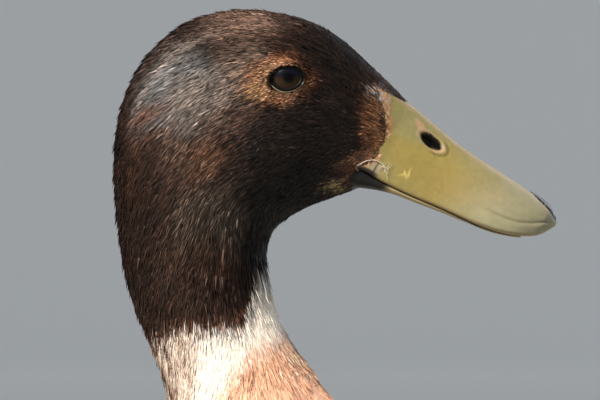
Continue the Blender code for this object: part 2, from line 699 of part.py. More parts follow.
def wing_vane(name, side, root, tip, width):
    """A vane over the trunk from its root to its tip, its lower edge above its neighbour below."""
    stations, outline = VANE_STATIONS, BROAD_VANE
    if name in LONG_ROWS:
        stations, outline = LONG_VANE_STATIONS, LONG_VANE
    share = np.array(stations)
    a, v, height = (np.array(root)[k] + (tip[k] - root[k]) * share for k in range(3))
    middle, normal = on_trunk(a, np.radians(v), height, side)
    return vane_along(name, middle, normal, width, outline, -side * VANE_RAISE)


def wing_vanes(side, chance):
    """All the vanes of one folded wing, in rows, each scattered a little."""
    vanes = []
    for row, (count, root_a, tip_a, root_b, tip_b, width_a, width_b) in WING_ROWS_OF_VANES.items():
        for k in range(count):
            share = k / (count - 1)
            root = np.array(root_a) * (1 - share) + np.array(root_b) * share
            tip = np.array(tip_a) * (1 - share) + np.array(tip_b) * share
            tip[0] += chance.uniform(-LENGTH_SCATTER, LENGTH_SCATTER)
            tip[1] += chance.uniform(-ANGLE_SCATTER, ANGLE_SCATTER)
            width = width_a + (width_b - width_a) * share
            vanes.append(wing_vane(row, side, root, tip, width))
    return vanes


def tail_place(share, across, rise):
    """A point of the tail: a share of its length behind its root, across and above its plane."""
    x = TAIL_MIDDLE[0] - TAIL_LENGTH * share * math.cos(TAIL_SLOPE) - rise * math.sin(TAIL_SLOPE)
    z = TAIL_MIDDLE[1] - TAIL_LENGTH * share * math.sin(TAIL_SLOPE) + rise * math.cos(TAIL_SLOPE)
    return np.array((x, across, z)) * MM


def tail_vanes(chance):
    """The fan of tail feathers, the middle pair uppermost, and the coverts over their roots."""
    up = np.array((-math.sin(TAIL_SLOPE), 0, math.cos(TAIL_SLOPE)))
    vanes = []
    for row, (count, root, tip, fan, level, drop, width, spread) in TAIL_ROWS.items():
        for k in range(count):
            aside = 2 * k / (count - 1) - 1
            scatter = chance.uniform(-TAIL_LENGTH_SCATTER, TAIL_LENGTH_SCATTER)
            reach = tip * (1 - TAIL_CORNER_SHORTER * aside ** 2) + scatter
            middle = []
            for share in np.array(VANE_STATIONS) * (reach - root) + root:
                run = (share - root) * TAIL_LENGTH
                side_place = aside * spread + run * math.sin(aside * fan)
                rise = level - drop * abs(aside) - TAIL_ARCH * side_place ** 2
                middle.append(tail_place(root + run * math.cos(aside * fan) / TAIL_LENGTH,
                                         side_place, rise))
            tilt = -math.copysign(TAIL_VANE_TILT, aside * drop)
            normal = np.tile(up, (len(middle), 1))
            vanes.append(vane_along(row, np.array(middle), normal, width, BROAD_VANE, tilt))
    return vanes


def tail_curls():
    """The drake's curled feathers: strips that rise from the tail's root and roll forwards."""
    curls = []
    for k in range(CURL_VANES):
        aside = (k - (CURL_VANES - 1) / 2) * CURL_SPACING
        outer = k in (0, CURL_VANES - 1)
        radius = CURL_RADIUS if outer else CURL_MIDDLE_RADIUS
        start = tail_place(CURL_ROOT if outer else CURL_MIDDLE_ROOT, aside, CURL_RISE)
        turn = np.linspace(0, CURL_TURN, len(CURL_OUTLINE))
        shrink = 1 - CURL_TIGHTENING * turn / CURL_TURN
        x = -radius * shrink * np.sin(turn) * CURL_LENGTHWAYS - CURL_LEAN * np.minimum(turn, CURL_LEAN_END)
        z = radius * (1 - np.cos(turn) * shrink) * CURL_UPRIGHT
        middle = start + np.stack([x, CURL_SPLAY * aside * turn, z], -1) * MM
        normal = np.cross(np.gradient(middle, axis=0), (0, 1, 0))
        normal /= np.linalg.norm(normal, axis=1, keepdims=True)
        curls.append(vane_along("curl", middle, normal, CURL_WIDTH, CURL_OUTLINE, 0.0))
    return curls


def make_tail(feathers, chance):
    """The tail: its coverts and root as one core, the fan, its covert feathers and the curls."""
    v = np.linspace(0, 2 * math.pi, TAIL_AROUND, endpoint=False)
    rings = [body_point(np.full(TAIL_AROUND, u), v) for u in TAIL_CORE_PLACES]
    rings[0] = rings[0] + ring_plane(TORSO_END) * GAP / 2
    for share, half_width, half_height in TAIL_CORE:
        rings.append([tail_place(share, half_width * math.sin(a), half_height * math.cos(a)) for a in v])
    tail = tube("tail", rings, feathers)
    boolean(tail, collection_of("tail_vanes", tail_vanes(chance) + tail_curls()), "UNION")
    return tail


def level_tube(name, side, rows, finish):
    """A closed tube of level ovals, each given by x, distance out, z, half depth and half width."""
    angles = np.linspace(0, 2 * math.pi, 12, endpoint=False)
    rings = [[((x + depth * math.cos(a)) * MM, (side * y + width * math.sin(a)) * MM, z * MM) for a in angles]
             for x, y, z, depth, width in rows]
    return tube(name, rings, finish)


def foot_place(side, angle, r, across, z):
    """A point by distance r along a line turned by angle from straight ahead, outwards positive."""
    turn = FOOT_TURN + angle
    x = ANKLE_X + r * math.cos(turn) - across * math.sin(turn)
    y = ANKLE_Y + r * math.sin(turn) + across * math.cos(turn)
    return (x * MM, side * y * MM, z * MM)


def toe(side, angle, length, start, finish):
    """A toe with a flat sole and a round back that swells at its knuckles."""
    rings = []
    for share, swell in zip(TOE_SHARES, TOE_SWELL):
        r = start + (length - start) * share
        half = TOE_HALF_WIDTH * swell * (1 - TOE_NARROWING * share)
        rise = TOE_HEIGHT * swell * (1 - TOE_LOWERING * share) - TOE_EDGE_HEIGHT
        ring = [foot_place(side, angle, r, half * math.cos(a), TOE_EDGE_HEIGHT + rise * math.sin(a))
                for a in np.linspace(0, math.pi, 7)]
        ring += [foot_place(side, angle, r, across * SOLE_SHARE * half, 0.0) for across in (-1, 1)]
        rings.append(ring)
    return tube("toe", rings, finish)


def round_rod(name, side, angle, rows, sides, finish):
    """A round rod along a toe's line, of rows of its reach, height and radius."""
    turns = np.linspace(0, 2 * math.pi, sides, endpoint=False)
    rings = [[foot_place(side, angle, reach, r * math.cos(a), rise + r * math.sin(a)) for a in turns]
             for reach, rise, r in rows]
    return tube(name, rings, finish)


def web(side, finish):
    """The skin between the toes, hollowed along its front edge between each two."""
    outline = [(math.pi, WEB_HEEL)]
    edge = [(angle, WEB_REACH * length) for angle, length in zip(TOE_ANGLES, TOE_LENGTHS)]
    for (angle_a, reach_a), (angle_b, reach_b) in zip(edge, edge[1:]):
        for share in np.arange(WEB_STEPS) / WEB_STEPS:
            hollow = 1 - WEB_SCALLOP * math.sin(math.pi * share)
            reach = (reach_a + (reach_b - reach_a) * share) * hollow
            outline.append((angle_a + (angle_b - angle_a) * share, reach))
    outline.append(edge[-1])
    walls = [[foot_place(side, angle, r, 0.0, z) for angle, r in outline]
             for z in (WEB_FLOOR, WEB_FLOOR + WEB_THICKNESS)]
    return prism("web", *walls, finish)


def claw(name, side, angle, start, root_z, finish):
    """A tapered claw that bends down towards the ground in front of a toe."""
    rows = []
    for share in (0.0, 0.35, 0.7, 1.0):
        r = CLAW_RADIUS * (1 - CLAW_TAPER * share)
        rise = root_z - (root_z - CLAW_TIP_Z) * share ** CLAW_BEND
        rows.append((start + CLAW_LENGTH * share, max(rise, r + CLAW_LIFT), r))
    return round_rod(name, side, angle, rows, 6, finish)


def make_foot(word, side, leg_skin, claw_horn):
    """One webbed foot, its toes, hind toe and web fused to its knob, with its four claws."""
    knob = level_tube(f"foot_{word}", side, KNOB_RINGS, leg_skin)
    toes = list(zip(TOE_ANGLES, TOE_LENGTHS))
    pieces = [toe(side, *size, start, leg_skin) for size, start in zip(toes, TOE_STARTS)]
    rows = [(HIND_TOE_LENGTH * share, rise, r) for share, r, rise in HIND_TOE_RINGS]
    pieces.append(round_rod("hind_toe", side, HIND_TOE_ANGLE, rows, 8, leg_skin))
    pieces.append(web(side, leg_skin))
    boolean(knob, collection_of("toes", pieces), "UNION")
    tips = [(*size, CLAW_ROOT_Z) for size in toes]
    tips.append((HIND_TOE_ANGLE, HIND_TOE_LENGTH, HIND_TOE_RINGS[-1][2]))
    for number, (angle, length, root_z) in enumerate(tips, 1):
        claw(f"claw_{word}_{number}", side, angle, length + GAP / MM, root_z, claw_horn)


def centre_over_origin():
    """Moves the whole bird along x, so that the middle of its length stands over the origin."""
    meshes = [made.data for made in bpy.context.scene.collection.all_objects]
    reach = [vert.co.x for mesh in meshes for vert in mesh.vertices]
    shift = -(min(reach) + max(reach)) / 2
    for mesh in meshes:
        mesh.transform(Matrix.Translation((shift, 0, 0)))


def cut_by_trunk(piece):
    """Cuts a piece clear of the plumage that it lies on, by a copy of the trunk grown by a gap."""
    cutter = trunk_piece("trunk_cutter", TRUNK_CUTTER_PLACES, TORSO_AROUND, None, GAP)
    boolean(piece, cutter, "DIFFERENCE")


def build_duck():
    """All the pieces of the drake."""
    for old in list(bpy.data.objects):
        bpy.data.objects.remove(old)
    dark_plumage = material("dark brown head plumage", (0.030, 0.018, 0.013), 0.75)
    neck_plumage = material("dark and white neck plumage", (0.10, 0.075, 0.06), 0.8)
    body_plumage = material("cream and fawn body plumage", (0.55, 0.40, 0.28), 0.85)
    wing_plumage = material("grey-brown wing plumage", (0.22, 0.18, 0.15), 0.8)
    tail_plumage = material("white-edged tail plumage", (0.16, 0.14, 0.12), 0.8)
    iris = material("wet dark eye", (0.012, 0.008, 0.006), 0.08)
    bill_horn = material("olive bill horn", (0.33, 0.26, 0.09), 0.45)
    nail_horn = material("dark nail horn", (0.023, 0.023, 0.019), 0.4)
    leg_skin = material("orange leg skin", (0.60, 0.18, 0.03), 0.55)
    claw_horn = material("dark claw horn", (0.03, 0.025, 0.02), 0.45)

    upper = make_head(dark_plumage, bill_horn, iris)
    make_bill(upper, bill_horn, nail_horn)
    trunk_piece("neck", np.linspace(HEAD_END, NECK_END, NECK_PLACES), NECK_AROUND, neck_plumage)
    trunk_piece("torso", TORSO_PLACES, TORSO_AROUND, body_plumage)
    chance = random.Random(PLUMAGE_SEED)
    make_tail(tail_plumage, chance)
    for word, side in SIDES.items():
        wing = wing_core(f"wing_{word}", side, wing_plumage)
        boolean(wing, collection_of("wing_vanes", wing_vanes(side, chance)), "UNION")
        cut_by_trunk(wing)
        thigh = level_tube(f"thigh_{word}", side, THIGH_RINGS, body_plumage)
        cut_by_trunk(thigh)
        level_tube(f"shank_{word}", side, SHANK_RINGS, leg_skin)
        make_foot(word, side, leg_skin, claw_horn)
    centre_over_origin()


build_duck()
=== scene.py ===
"""The looks of a life-size Abacot Ranger drake that stands at ease, seen close from its right.

The bird faces +X, its left side is at +Y and it stands on z = 0. Points are in metres. The
bird's own sizes are in millimetres, with x counted as when it was first drawn: the frame's
right eye tells how far along x the bird has been moved since.
"""
import itertools
import math

import bpy
import numpy as np
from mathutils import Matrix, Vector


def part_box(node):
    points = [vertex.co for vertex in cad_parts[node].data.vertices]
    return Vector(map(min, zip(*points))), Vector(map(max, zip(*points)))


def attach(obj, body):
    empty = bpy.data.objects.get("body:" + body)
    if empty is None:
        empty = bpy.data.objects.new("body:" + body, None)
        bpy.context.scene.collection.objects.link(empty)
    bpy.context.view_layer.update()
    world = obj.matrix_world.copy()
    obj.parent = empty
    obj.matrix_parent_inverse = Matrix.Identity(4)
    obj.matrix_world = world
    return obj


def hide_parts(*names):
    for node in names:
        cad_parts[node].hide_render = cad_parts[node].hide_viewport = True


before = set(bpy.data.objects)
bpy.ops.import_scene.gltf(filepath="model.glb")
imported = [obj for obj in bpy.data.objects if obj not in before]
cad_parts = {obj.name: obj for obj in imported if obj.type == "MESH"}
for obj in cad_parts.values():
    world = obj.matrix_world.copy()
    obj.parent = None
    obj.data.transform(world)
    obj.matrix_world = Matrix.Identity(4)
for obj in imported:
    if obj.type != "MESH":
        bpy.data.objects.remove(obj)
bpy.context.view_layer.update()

# Studio: a matt painted sweep, flat under the bird and curved up all round far away, so that
# no edge of it shows. A small strong lamp stands high behind the bird's right shoulder, and a
# weak broad one before its left side lifts the shadows.
MM = 0.001
EYE_X, EYE_Z = 98.9, 399.0
SHIFT = sum(corner.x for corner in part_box("eye_right")) / 2 - EYE_X * MM
CAMERA_LENS = 300.0
SENSOR_WIDTH = 36.0
PICTURE_WIDTH = 180.0
PICTURE_MIDDLE = (EYE_X + 4.05, 363.0)
SWEEP_START, SWEEP_FLAT, SWEEP_REACH, SWEEP_HEIGHT, SWEEP_AROUND = 0.5, 10.0, 18.0, 8.0, 64
# Colours of the sweep near the bird and far out; the paler far one is painted light.
SWEEP_NEAR, SWEEP_FAR = "#a2a3a0", "#f1f1ef"


def linear(code):
    """The linear colour of an sRGB hex value."""
    part = np.array([int(code[k:k + 2], 16) for k in (1, 3, 5)]) / 255
    return np.where(part <= 0.04045, part / 12.92, ((part + 0.055) / 1.055) ** 2.4)


def full_turn(count):
    """Angles at even steps round a full turn."""
    return np.linspace(0, 2 * math.pi, count, endpoint=False)


def put_mesh(name, points, faces, smooth=True):
    """An object at the origin from an array of points and an array of faces alike in corners."""
    mesh = bpy.data.meshes.new(name)
    count, corners = faces.shape
    mesh.vertices.add(len(points))
    mesh.vertices.foreach_set("co", np.ascontiguousarray(points, np.float32).ravel())
    mesh.loops.add(count * corners)
    mesh.loops.foreach_set("vertex_index", np.ascontiguousarray(faces, np.int32).ravel())
    mesh.polygons.add(count)
    mesh.polygons.foreach_set("loop_start", np.arange(0, count * corners, corners, dtype=np.int32))
    mesh.polygons.foreach_set("use_smooth", np.full(count, smooth))
    mesh.update(calc_edges=True)
    made = bpy.data.objects.new(name, mesh)
    bpy.context.scene.collection.objects.link(made)
    return made


def ring_faces(rows, around):
    """Triangles between rows of points, each row closing on itself, facing out where the
    order around crossed with the rows' order points out."""
    i, j = np.meshgrid(np.arange(rows - 1), np.arange(around), indexing="ij")
    a = i * around + j
    b = i * around + (j + 1) % around
    return np.stack([a, b, b + around, a, b + around, a + around], -1).reshape(-1, 3)


def closed_tube(rings):
    """Points and triangles of a tube of rings whose ends are closed over their middle points."""
    rows, around = rings.shape[:2]
    points = np.concatenate([rings.reshape(-1, 3), rings[:1].mean(1), rings[-1:].mean(1)])
    j = np.arange(around)
    after = (j + 1) % around
    last = (rows - 1) * around
    first_pole, last_pole = rows * around, rows * around + 1
    start = np.stack([after, j, np.full(around, first_pole)], -1)
    end = np.stack([last + j, last + after, np.full(around, last_pole)], -1)
    return points, np.concatenate([ring_faces(rows, around), start, end])


def closed_loops(rings):
    """Points and triangles of a ring-shaped body: rows of points that close on themselves both
    ways."""
    rows, around = rings.shape[:2]
    j = np.arange(around)
    after = (j + 1) % around
    last = (rows - 1) * around
    closing = np.stack([last + j, last + after, after, last + j, after, j], -1).reshape(-1, 3)
    return rings.reshape(-1, 3), np.concatenate([ring_faces(rows, around), closing])


def right_way(points, faces):
    """The faces, turned if they point inwards: the sum over them of a corner times the cross
    product of the other two is six times the volume, and negative when they do."""
    one, two, three = (points[faces[:, k]] for k in range(3))
    return faces if np.sum(one * np.cross(two, three)) > 0 else faces[:, ::-1]


def add_node(finish, kind, settings=(), inputs=()):
    """Adds a node to a material: its settings, and its inputs as values or as sockets to link."""
    made = finish.node_tree.nodes.new("ShaderNode" + kind)
    for word, value in dict(settings).items():
        setattr(made, word, value)
    for socket, value in dict(inputs).items():
        if isinstance(value, bpy.types.NodeSocket):
            finish.node_tree.links.new(value, made.inputs[socket])
        else:
            made.inputs[socket].default_value = value
    return made


def new_finish(name, **sockets):
    """A material and its Principled shader, with some of the shader's sockets set."""
    finish = bpy.data.materials.new(name)
    finish.use_nodes = True
    shader = finish.node_tree.nodes["Principled BSDF"]
    for word, value in sockets.items():
        shader.inputs[word.replace("_", " ")].default_value = value
    return finish, shader


def link(finish, source, target):
    """Links two sockets of a material."""
    finish.node_tree.links.new(source, target)


def make_sweep():
    """The sweep: flat to its bend, then up as a quarter of an ellipse, and painted paler far out as painted
    light where the lamps reach it less.
    """
    reach = np.concatenate([np.linspace(SWEEP_START, SWEEP_FLAT, 12),
                            np.linspace(SWEEP_FLAT, SWEEP_REACH, 25)[1:]])
    bend = np.clip((reach - SWEEP_FLAT) / (SWEEP_REACH - SWEEP_FLAT), 0, 1)
    height = SWEEP_HEIGHT * (1 - np.sqrt(1 - bend ** 2))
    turn = full_turn(SWEEP_AROUND)
    rings = np.stack(np.broadcast_arrays(reach[:, None] * np.cos(turn), reach[:, None] * np.sin(turn),
                                         height[:, None]), -1)
    points = np.concatenate([rings.reshape(-1, 3), np.zeros((1, 3))])
    j = np.arange(SWEEP_AROUND)
    middle = np.stack([j, (j + 1) % SWEEP_AROUND, np.full(SWEEP_AROUND, rings[..., 0].size)], -1)
    faces = np.concatenate([ring_faces(len(reach), SWEEP_AROUND)[:, ::-1], middle])
    sweep = put_mesh("sweep", points, faces)
    finish, shader = new_finish("matt painted sweep", Roughness=0.9)
    place = add_node(finish, "TexCoord")
    away = add_node(finish, "VectorMath", {"operation": "LENGTH"}, {0: place.outputs["Object"]})
    grain = add_node(finish, "TexNoise", inputs={
        "Vector": place.outputs["Object"], "Scale": 30.0, "Detail": 3.0})
    cloud = add_node(finish, "Math", {"operation": "MULTIPLY_ADD"}, {
        0: grain.outputs["Fac"], 1: 0.4, 2: away.outputs["Value"]})
    share = add_node(finish, "MapRange", inputs={
        "Value": cloud.outputs["Value"], "From Min": 1.0, "From Max": 9.0})
    tone = add_node(finish, "Mix", {"data_type": "RGBA"}, {
        "Factor": share.outputs["Result"], "A": (*linear(SWEEP_NEAR), 1), "B": (*linear(SWEEP_FAR), 1)})
    link(finish, tone.outputs["Result"], shader.inputs["Base Color"])
    sweep.data.materials.append(finish)


def add_lamp(name, place, aim, size, power, colour):
    """A square lamp that faces a point and doesn't show itself."""
    data = bpy.data.lights.new(name, "AREA")
    data.size = size
    data.energy = power
    data.color = linear(colour)
    lamp = bpy.data.objects.new(name, data)
    lamp.location = place
    away = np.array(aim) - np.array(place)
    lamp.rotation_euler = (math.acos(-away[2] / np.linalg.norm(away)), 0,
                           math.atan2(away[1], away[0]) - math.pi / 2)
    lamp.visible_camera = False
    bpy.context.scene.collection.objects.link(lamp)


def add_camera():
    """The camera at the height of the picture's middle, level, on the bird's right."""
    data = bpy.data.cameras.new("camera")
    data.lens = CAMERA_LENS
    data.sensor_width = SENSOR_WIDTH
    camera = bpy.data.objects.new("camera", data)
    distance = PICTURE_WIDTH * MM * CAMERA_LENS / SENSOR_WIDTH
    camera.location = (PICTURE_MIDDLE[0] * MM + SHIFT, -distance, PICTURE_MIDDLE[1] * MM)
    camera.rotation_euler = (math.pi / 2, 0, 0)
    bpy.context.scene.collection.objects.link(camera)
    bpy.context.scene.camera = camera


make_sweep()
HEAD_PLACE = (EYE_X * MM + SHIFT, 0.0, 0.37)
add_lamp("key_lamp", (-1.8, -1.9, 3.1), HEAD_PLACE, 0.45, 345.0, "#fff3e4")
add_lamp("fill_lamp", (1.6, 1.8, 1.3), (0.0, 0.0, 0.25), 1.6, 16.0, "#eaf1ff")
add_camera()
bpy.context.scene.world = bpy.data.worlds.new("studio_sky")
bpy.context.scene.world.use_nodes = True
sky = bpy.context.scene.world.node_tree.nodes["Background"]
sky.inputs["Color"].default_value = (*linear("#dfe8f2"), 1)
sky.inputs["Strength"].default_value = 0.44
bpy.context.scene.view_settings.view_transform = "Standard"

# Skin: one thin warm skin under all the feathers of head, neck, trunk and thighs. It lies
# inside the outline of the plumage by the coat's depth, which grows from the bill to the flanks.

# Rings of the plumage, in order from the bill's root: back x, back z, front x, front z, half
# width, and the share of the depth at which a ring is widest.
PROFILE = np.array((
    (134.1, 393.3, 118.0, 365.7, 11.6, 0.52),
    (126.6, 400.6, 110.5, 363.1, 14.4, 0.55),
    (113.7, 412.3, 103.0, 359.9, 18.0, 0.57),
    (100.0, 418.2, 98.5, 357.1, 20.6, 0.56),
    (85.0, 420.0, 95.5, 354.7, 21.6, 0.53),
    (68.8, 415.9, 93.9, 351.8, 21.8, 0.49),
    (55.9, 404.5, 93.0, 348.7, 21.4, 0.46),
    (48.9, 388.6, 92.7, 345.6, 20.6, 0.46),
    (47.3, 372.0, 92.9, 342.6, 19.6, 0.48),
    (48.6, 354.2, 93.7, 337.0, 18.8, 0.50),
    (51.7, 336.4, 95.8, 329.4, 18.8, 0.50),
    (56.8, 322.9, 100.0, 320.5, 19.8, 0.50),
    (61.6, 310.7, 106.9, 310.7, 22.0, 0.50),
    (64.0, 298.7, 115.9, 299.0, 26.5, 0.50),
    (61.5, 284.0, 133.0, 279.0, 37.0, 0.52),
    (53.0, 270.0, 149.0, 248.0, 51.0, 0.55),
    (36.0, 259.0, 156.5, 206.0, 63.0, 0.57),
    (6.0, 247.0, 145.0, 157.0, 70.0, 0.57),
    (-35.0, 233.0, 108.0, 107.0, 72.5, 0.56),
    (-85.0, 213.0, 45.0, 75.0, 71.5, 0.54),
    (-135.0, 187.0, -35.0, 68.0, 66.0, 0.51),
    (-175.0, 161.0, -110.0, 85.0, 54.0, 0.48),
    (-203.0, 143.0, -165.0, 107.0, 39.0, 0.46),
    (-222.0, 132.5, -198.0, 118.0, 32.0, 0.46),
))
# Ring place and depth of the coat there, in millimetres.
COAT_DEPTH = ((-0.5, 0, 1, 4, 8, 11, 14, 16, 20, 23), (0.3, 0.5, 0.8, 1.3, 1.8, 2.6, 4.0, 5.0, 5.0, 3.0))
SOCKET_DEPTH, BILL_ROOT_DEPTH = 5.0, 1.3
EYE_MIDDLE_Y, EYE_RADIUS, LID_RADIUS = 11.9, 7.0, 8.25
LENS_HALF_LENGTH, LENS_HALF_HEIGHT, LENS_SLANT = 4.2, 2.9, math.radians(7)
# Rings of a thigh, upwards from the heel: x, y, z, half depth and half width.
THIGH_RINGS = (
    (-39.0, 38.0, 61.5, 7.0, 5.6), (-38.0, 38.0, 66.0, 9.0, 7.6), (-34.0, 37.5, 73.0, 13.5, 11.0),
    (-28.0, 36.5, 84.0, 19.0, 14.5), (-20.0, 35.0, 100.0, 22.0, 16.0),
)


def spline(knots, values, at):
    """A natural cubic spline through rows of values at knots, evaluated at the given places."""
    x, y = np.asarray(knots, float), np.asarray(values, float)
    count = len(x)
    step = np.diff(x)
    rise = np.diff(y, axis=0) / step[:, None]
    inner = np.arange(1, count - 1)
    system = np.eye(count)
    system[inner, inner - 1] = step[:-1]
    system[inner, inner] = 2 * (step[:-1] + step[1:])
    system[inner, inner + 1] = step[1:]
    target = np.zeros_like(y)
    target[1:-1] = 3 * np.diff(rise, axis=0)
    bend = np.linalg.solve(system, target)
    slope = rise - step[:, None] * (2 * bend[:-1] + bend[1:]) / 3
    cubic = np.diff(bend, axis=0) / (3 * step[:, None])
    k = np.clip(np.searchsorted(x, at, side="right") - 1, 0, count - 2)
    d = (at - x[k])[..., None]
    return y[k] + d * (slope[k] + d * (bend[k] + d * cubic[k]))


def body_point(u, v):
    """The plumage's outline at ring place u and angle v from the back line: the depth goes as
    widest * (1 - cos v) to the widest level and on as -cos v, the half width as sin v."""
    bx, bz, fx, fz, width, widest = np.moveaxis(spline(np.arange(len(PROFILE)), PROFILE, u), -1, 0)
    c = np.cos(v)
    share = np.where(c > 0, widest * (1 - c), widest - (1 - widest) * c)
    point = np.stack([bx + (fx - bx) * share, width * np.sin(v), bz + (fz - bz) * share], -1) * MM
    point[..., 0] += SHIFT
    return point


def over_lids(point):
    """Lifts what lies under the ball of the lids to its surface, by a smooth larger-of-both."""
    away = np.stack([point[..., 0] - SHIFT - EYE_X * MM, np.abs(point[..., 1]) - EYE_MIDDLE_Y * MM,
                     point[..., 2] - EYE_Z * MM], -1)
    distance = np.linalg.norm(away, axis=-1)
    reach, blend = LID_RADIUS * MM, 0.6 * MM
    wanted = (distance + reach + np.sqrt((distance - reach) ** 2 + blend ** 2)) / 2
    near = (distance < 2 * reach) & (away[..., 1] > 0)
    grow = np.where(near, wanted / np.maximum(distance, 1e-6), 1.0) - 1
    away[..., 1] *= np.where(point[..., 1] < 0, -1, 1)
    return point + away * grow[..., None]


def plumage_point(u, v):
    """The outline of the plumage with the swelling of the lids."""
    return over_lids(body_point(u, v))


def unit(vector):
    """Vectors brought to length one."""
    return vector / np.linalg.norm(vector, axis=-1, keepdims=True)


def surface_frame(surface, u, v, step=2e-3):
    """A surface's point, its slopes in both directions, and its outward normal."""
    along = (surface(u + step, v) - surface(u - step, v)) / (2 * step)
    across = (surface(u, v + step) - surface(u, v - step)) / (2 * step)
    return surface(u, v), along, across, unit(np.cross(across, along))


def steps_for(along, across, way):
    """How far both surface places change for a small move: the move is split on the slopes."""
    aa, ab, bb = (np.sum(a * b, -1) for a, b in ((along, along), (along, across), (across, across)))
    pa, pb = np.sum(along * way, -1), np.sum(across * way, -1)
    scale = aa * bb - ab ** 2
    return (pa * bb - pb * ab) / scale, (pb * aa - pa * ab) / scale


def lens_distance(x, z):
    """How far a side-view place lies from the eye's middle, as a share of the opening's edge,
    which is a lens: its height goes as the sine to a power just over one."""
    along = (x - EYE_X) * math.cos(LENS_SLANT) + (z - EYE_Z) * math.sin(LENS_SLANT)
    up = (z - EYE_Z) * math.cos(LENS_SLANT) - (x - EYE_X) * math.sin(LENS_SLANT)
    return np.sqrt((along / LENS_HALF_LENGTH) ** 2 + (np.abs(up) / LENS_HALF_HEIGHT) ** 1.8)


def lid_gap(own):
    """How many millimetres a place lies outside the edge of the eye's opening, in the side view."""
    share = lens_distance(own[:, 0], own[:, 2])
    return np.hypot(own[:, 0] - EYE_X, own[:, 2] - EYE_Z) * (1 - 1 / np.maximum(share, 0.01))


def own_mm(point):
    """A point in the bird's own millimetres."""
    return (point - np.array([SHIFT, 0, 0])) / MM


def smooth_step(low, high, value):
    """A share that rises smoothly from 0 at low to 1 at high."""
    share = np.clip((value - low) / (high - low), 0, 1)
    return share * share * (3 - 2 * share)


def mottle(point, size, seed):
    """Smooth random values between -1 and 1 that change over a given size in millimetres: each
    corner of a lattice holds a scrambled number, and the eight round a point are blended."""
    place = np.asarray(point) / (size * MM)
    cell = np.floor(place).astype(np.int64)
    part = place - cell
    part = part * part * (3 - 2 * part)
    total = np.zeros(place.shape[:-1])
    for corner in itertools.product((0, 1), repeat=3):
        c = cell + np.array(corner)
        mixed = (c[..., 0] * 73856093) ^ (c[..., 1] * 19349663) ^ (c[..., 2] * 83492791) ^ (seed * 7919)
        mixed = ((mixed ^ (mixed >> 13)) * 1274126177) & 0x7FFFFFFF
        value = ((mixed ^ (mixed >> 15)) & 0xFFFF) / 32767.5 - 1
        total += value * np.prod(np.where(np.array(corner) > 0, part, 1 - part), axis=-1)
    return total


# The plumage's markings on the head and neck, with painted sheen and painted shade among them,
# as the side view shows them: x, z, half length, half height, slant in degrees, colour and
# strength of each soft patch, laid one over another.
PATCHES = (
    (90, 402, 42, 32, 0, "#2b1e18", 1.0),
    # Forehead and lores: dark plumage painted darker still as painted shade.
    (113, 404, 14, 15, -40, "#17100d", 0.95),
    (115, 387, 13, 15, 0, "#19110e", 0.95),
    (102, 380, 24, 15, 10, "#1e1715", 0.95),
    # Lower cheek: painted shade under the jaw.
    (97, 361, 21, 14, 30, "#0e0b0a", 0.95),
    # Crown top: painted sheen where the light falls on it.
    (84, 415.5, 17, 6, 5, "#68544a", 0.85),
    (65, 404, 16, 10, 35, "#2a2420", 0.8),
    # Behind the eye and up the crown: painted sheen.
    (67, 395, 17, 14, -20, "#545456", 0.9),
    (62, 407, 9, 6, 45, "#352d29", 0.7),
    # Lower behind the eye: painted sheen.
    (75, 391, 13, 9, -20, "#675c55", 0.8),
    # Grey behind the eye: partly the plumage's own grey-brown, partly painted sheen.
    (87, 402, 9, 8, 0, "#66574e", 0.7),
    (59, 389, 7, 2.6, 20, "#5c3827", 0.6),
    (61, 382, 8, 2.6, 35, "#3f281c", 0.7),
    (80, 385, 11, 6, 30, "#412a20", 0.7),
    (61, 379, 7, 5, 30, "#2b1c15", 0.7),
    (73, 374, 7, 7, 0, "#624636", 0.8),
    (66.5, 375, 3.5, 8, 20, "#4a382e", 0.8),
    # A dark strip down the back of the neck, partly painted shade.
    (49, 374, 4.5, 26, 4, "#150c08", 0.95),
    (56, 369, 7, 12, 0, "#21140c", 0.8),
    (54, 345, 8, 18, -10, "#160d08", 0.75),
    # Side of the neck: a painted highlight.
    (77, 357, 14, 12, 35, "#463c35", 0.85),
    (70, 345, 15, 10, 0, "#2b1d15", 0.8),
    # Front of the throat: painted shade.
    (91, 350, 7, 26, 0, "#100d0b", 0.95),
    (72, 330, 18, 9, 0, "#20140d", 0.85),
    (124, 383, 5, 12, 0, "#7d553a", 0.7),
    (122, 373, 6, 5, 30, "#5a3d2e", 0.6),
    (120.5, 375.2, 6, 1.9, 8, "#7d5b45", 0.6),
    (126.3, 384, 1.5, 9, 0, "#a07a5c", 0.5),
    (125.5, 395, 3.0, 3.0, 0, "#8b7c76", 0.7),
    (113.2, 368.2, 4.6, 0.75, 18, "#a3906c", 0.8),
    (116.0, 366.6, 2.0, 0.8, 10, "#7d7648", 0.8),
)
BACK_WHITE_EDGE = ((40, 61, 66, 72, 81, 86.5, 88, 90, 94, 101),
                   (316, 317.6, 323.2, 323.2, 323.3, 325, 329.2, 334.4, 338.4, 340.4))
FRONT_WHITE_EDGE = ((40, 60, 70, 79, 80.5, 85, 88, 95.5, 98.5, 101),
                    (284, 290, 296, 303, 308, 312.5, 317, 320, 322.3, 322))


def soft_patch(x, z, middle_x, middle_z, half_x, half_z, slant, strength=1.0):
    """The strength of a soft slanted oval patch, which fades out over its outer half."""
    c, s = math.cos(math.radians(slant)), math.sin(math.radians(slant))
    along = (x - middle_x) * c + (z - middle_z) * s
    up = (z - middle_z) * c - (x - middle_x) * s
    return strength * (1 - smooth_step(0.45, 1.25, np.hypot(along / half_x, up / half_z)))


def flat_colour(code, points):
    """One hex colour for every point."""
    return np.broadcast_to(linear(code), points.shape)


def washed(colour, *washes):
    """A colour array with washes of hex colours laid over it in turn, each by its share."""
    for code, share in washes:
        colour = colour + (linear(code) - colour) * np.asarray(share)[..., None]
    return colour


def from_back(v):
    """How far an angle lies from the back line, on either side."""
    return np.abs((v + math.pi) % (2 * math.pi) - math.pi)


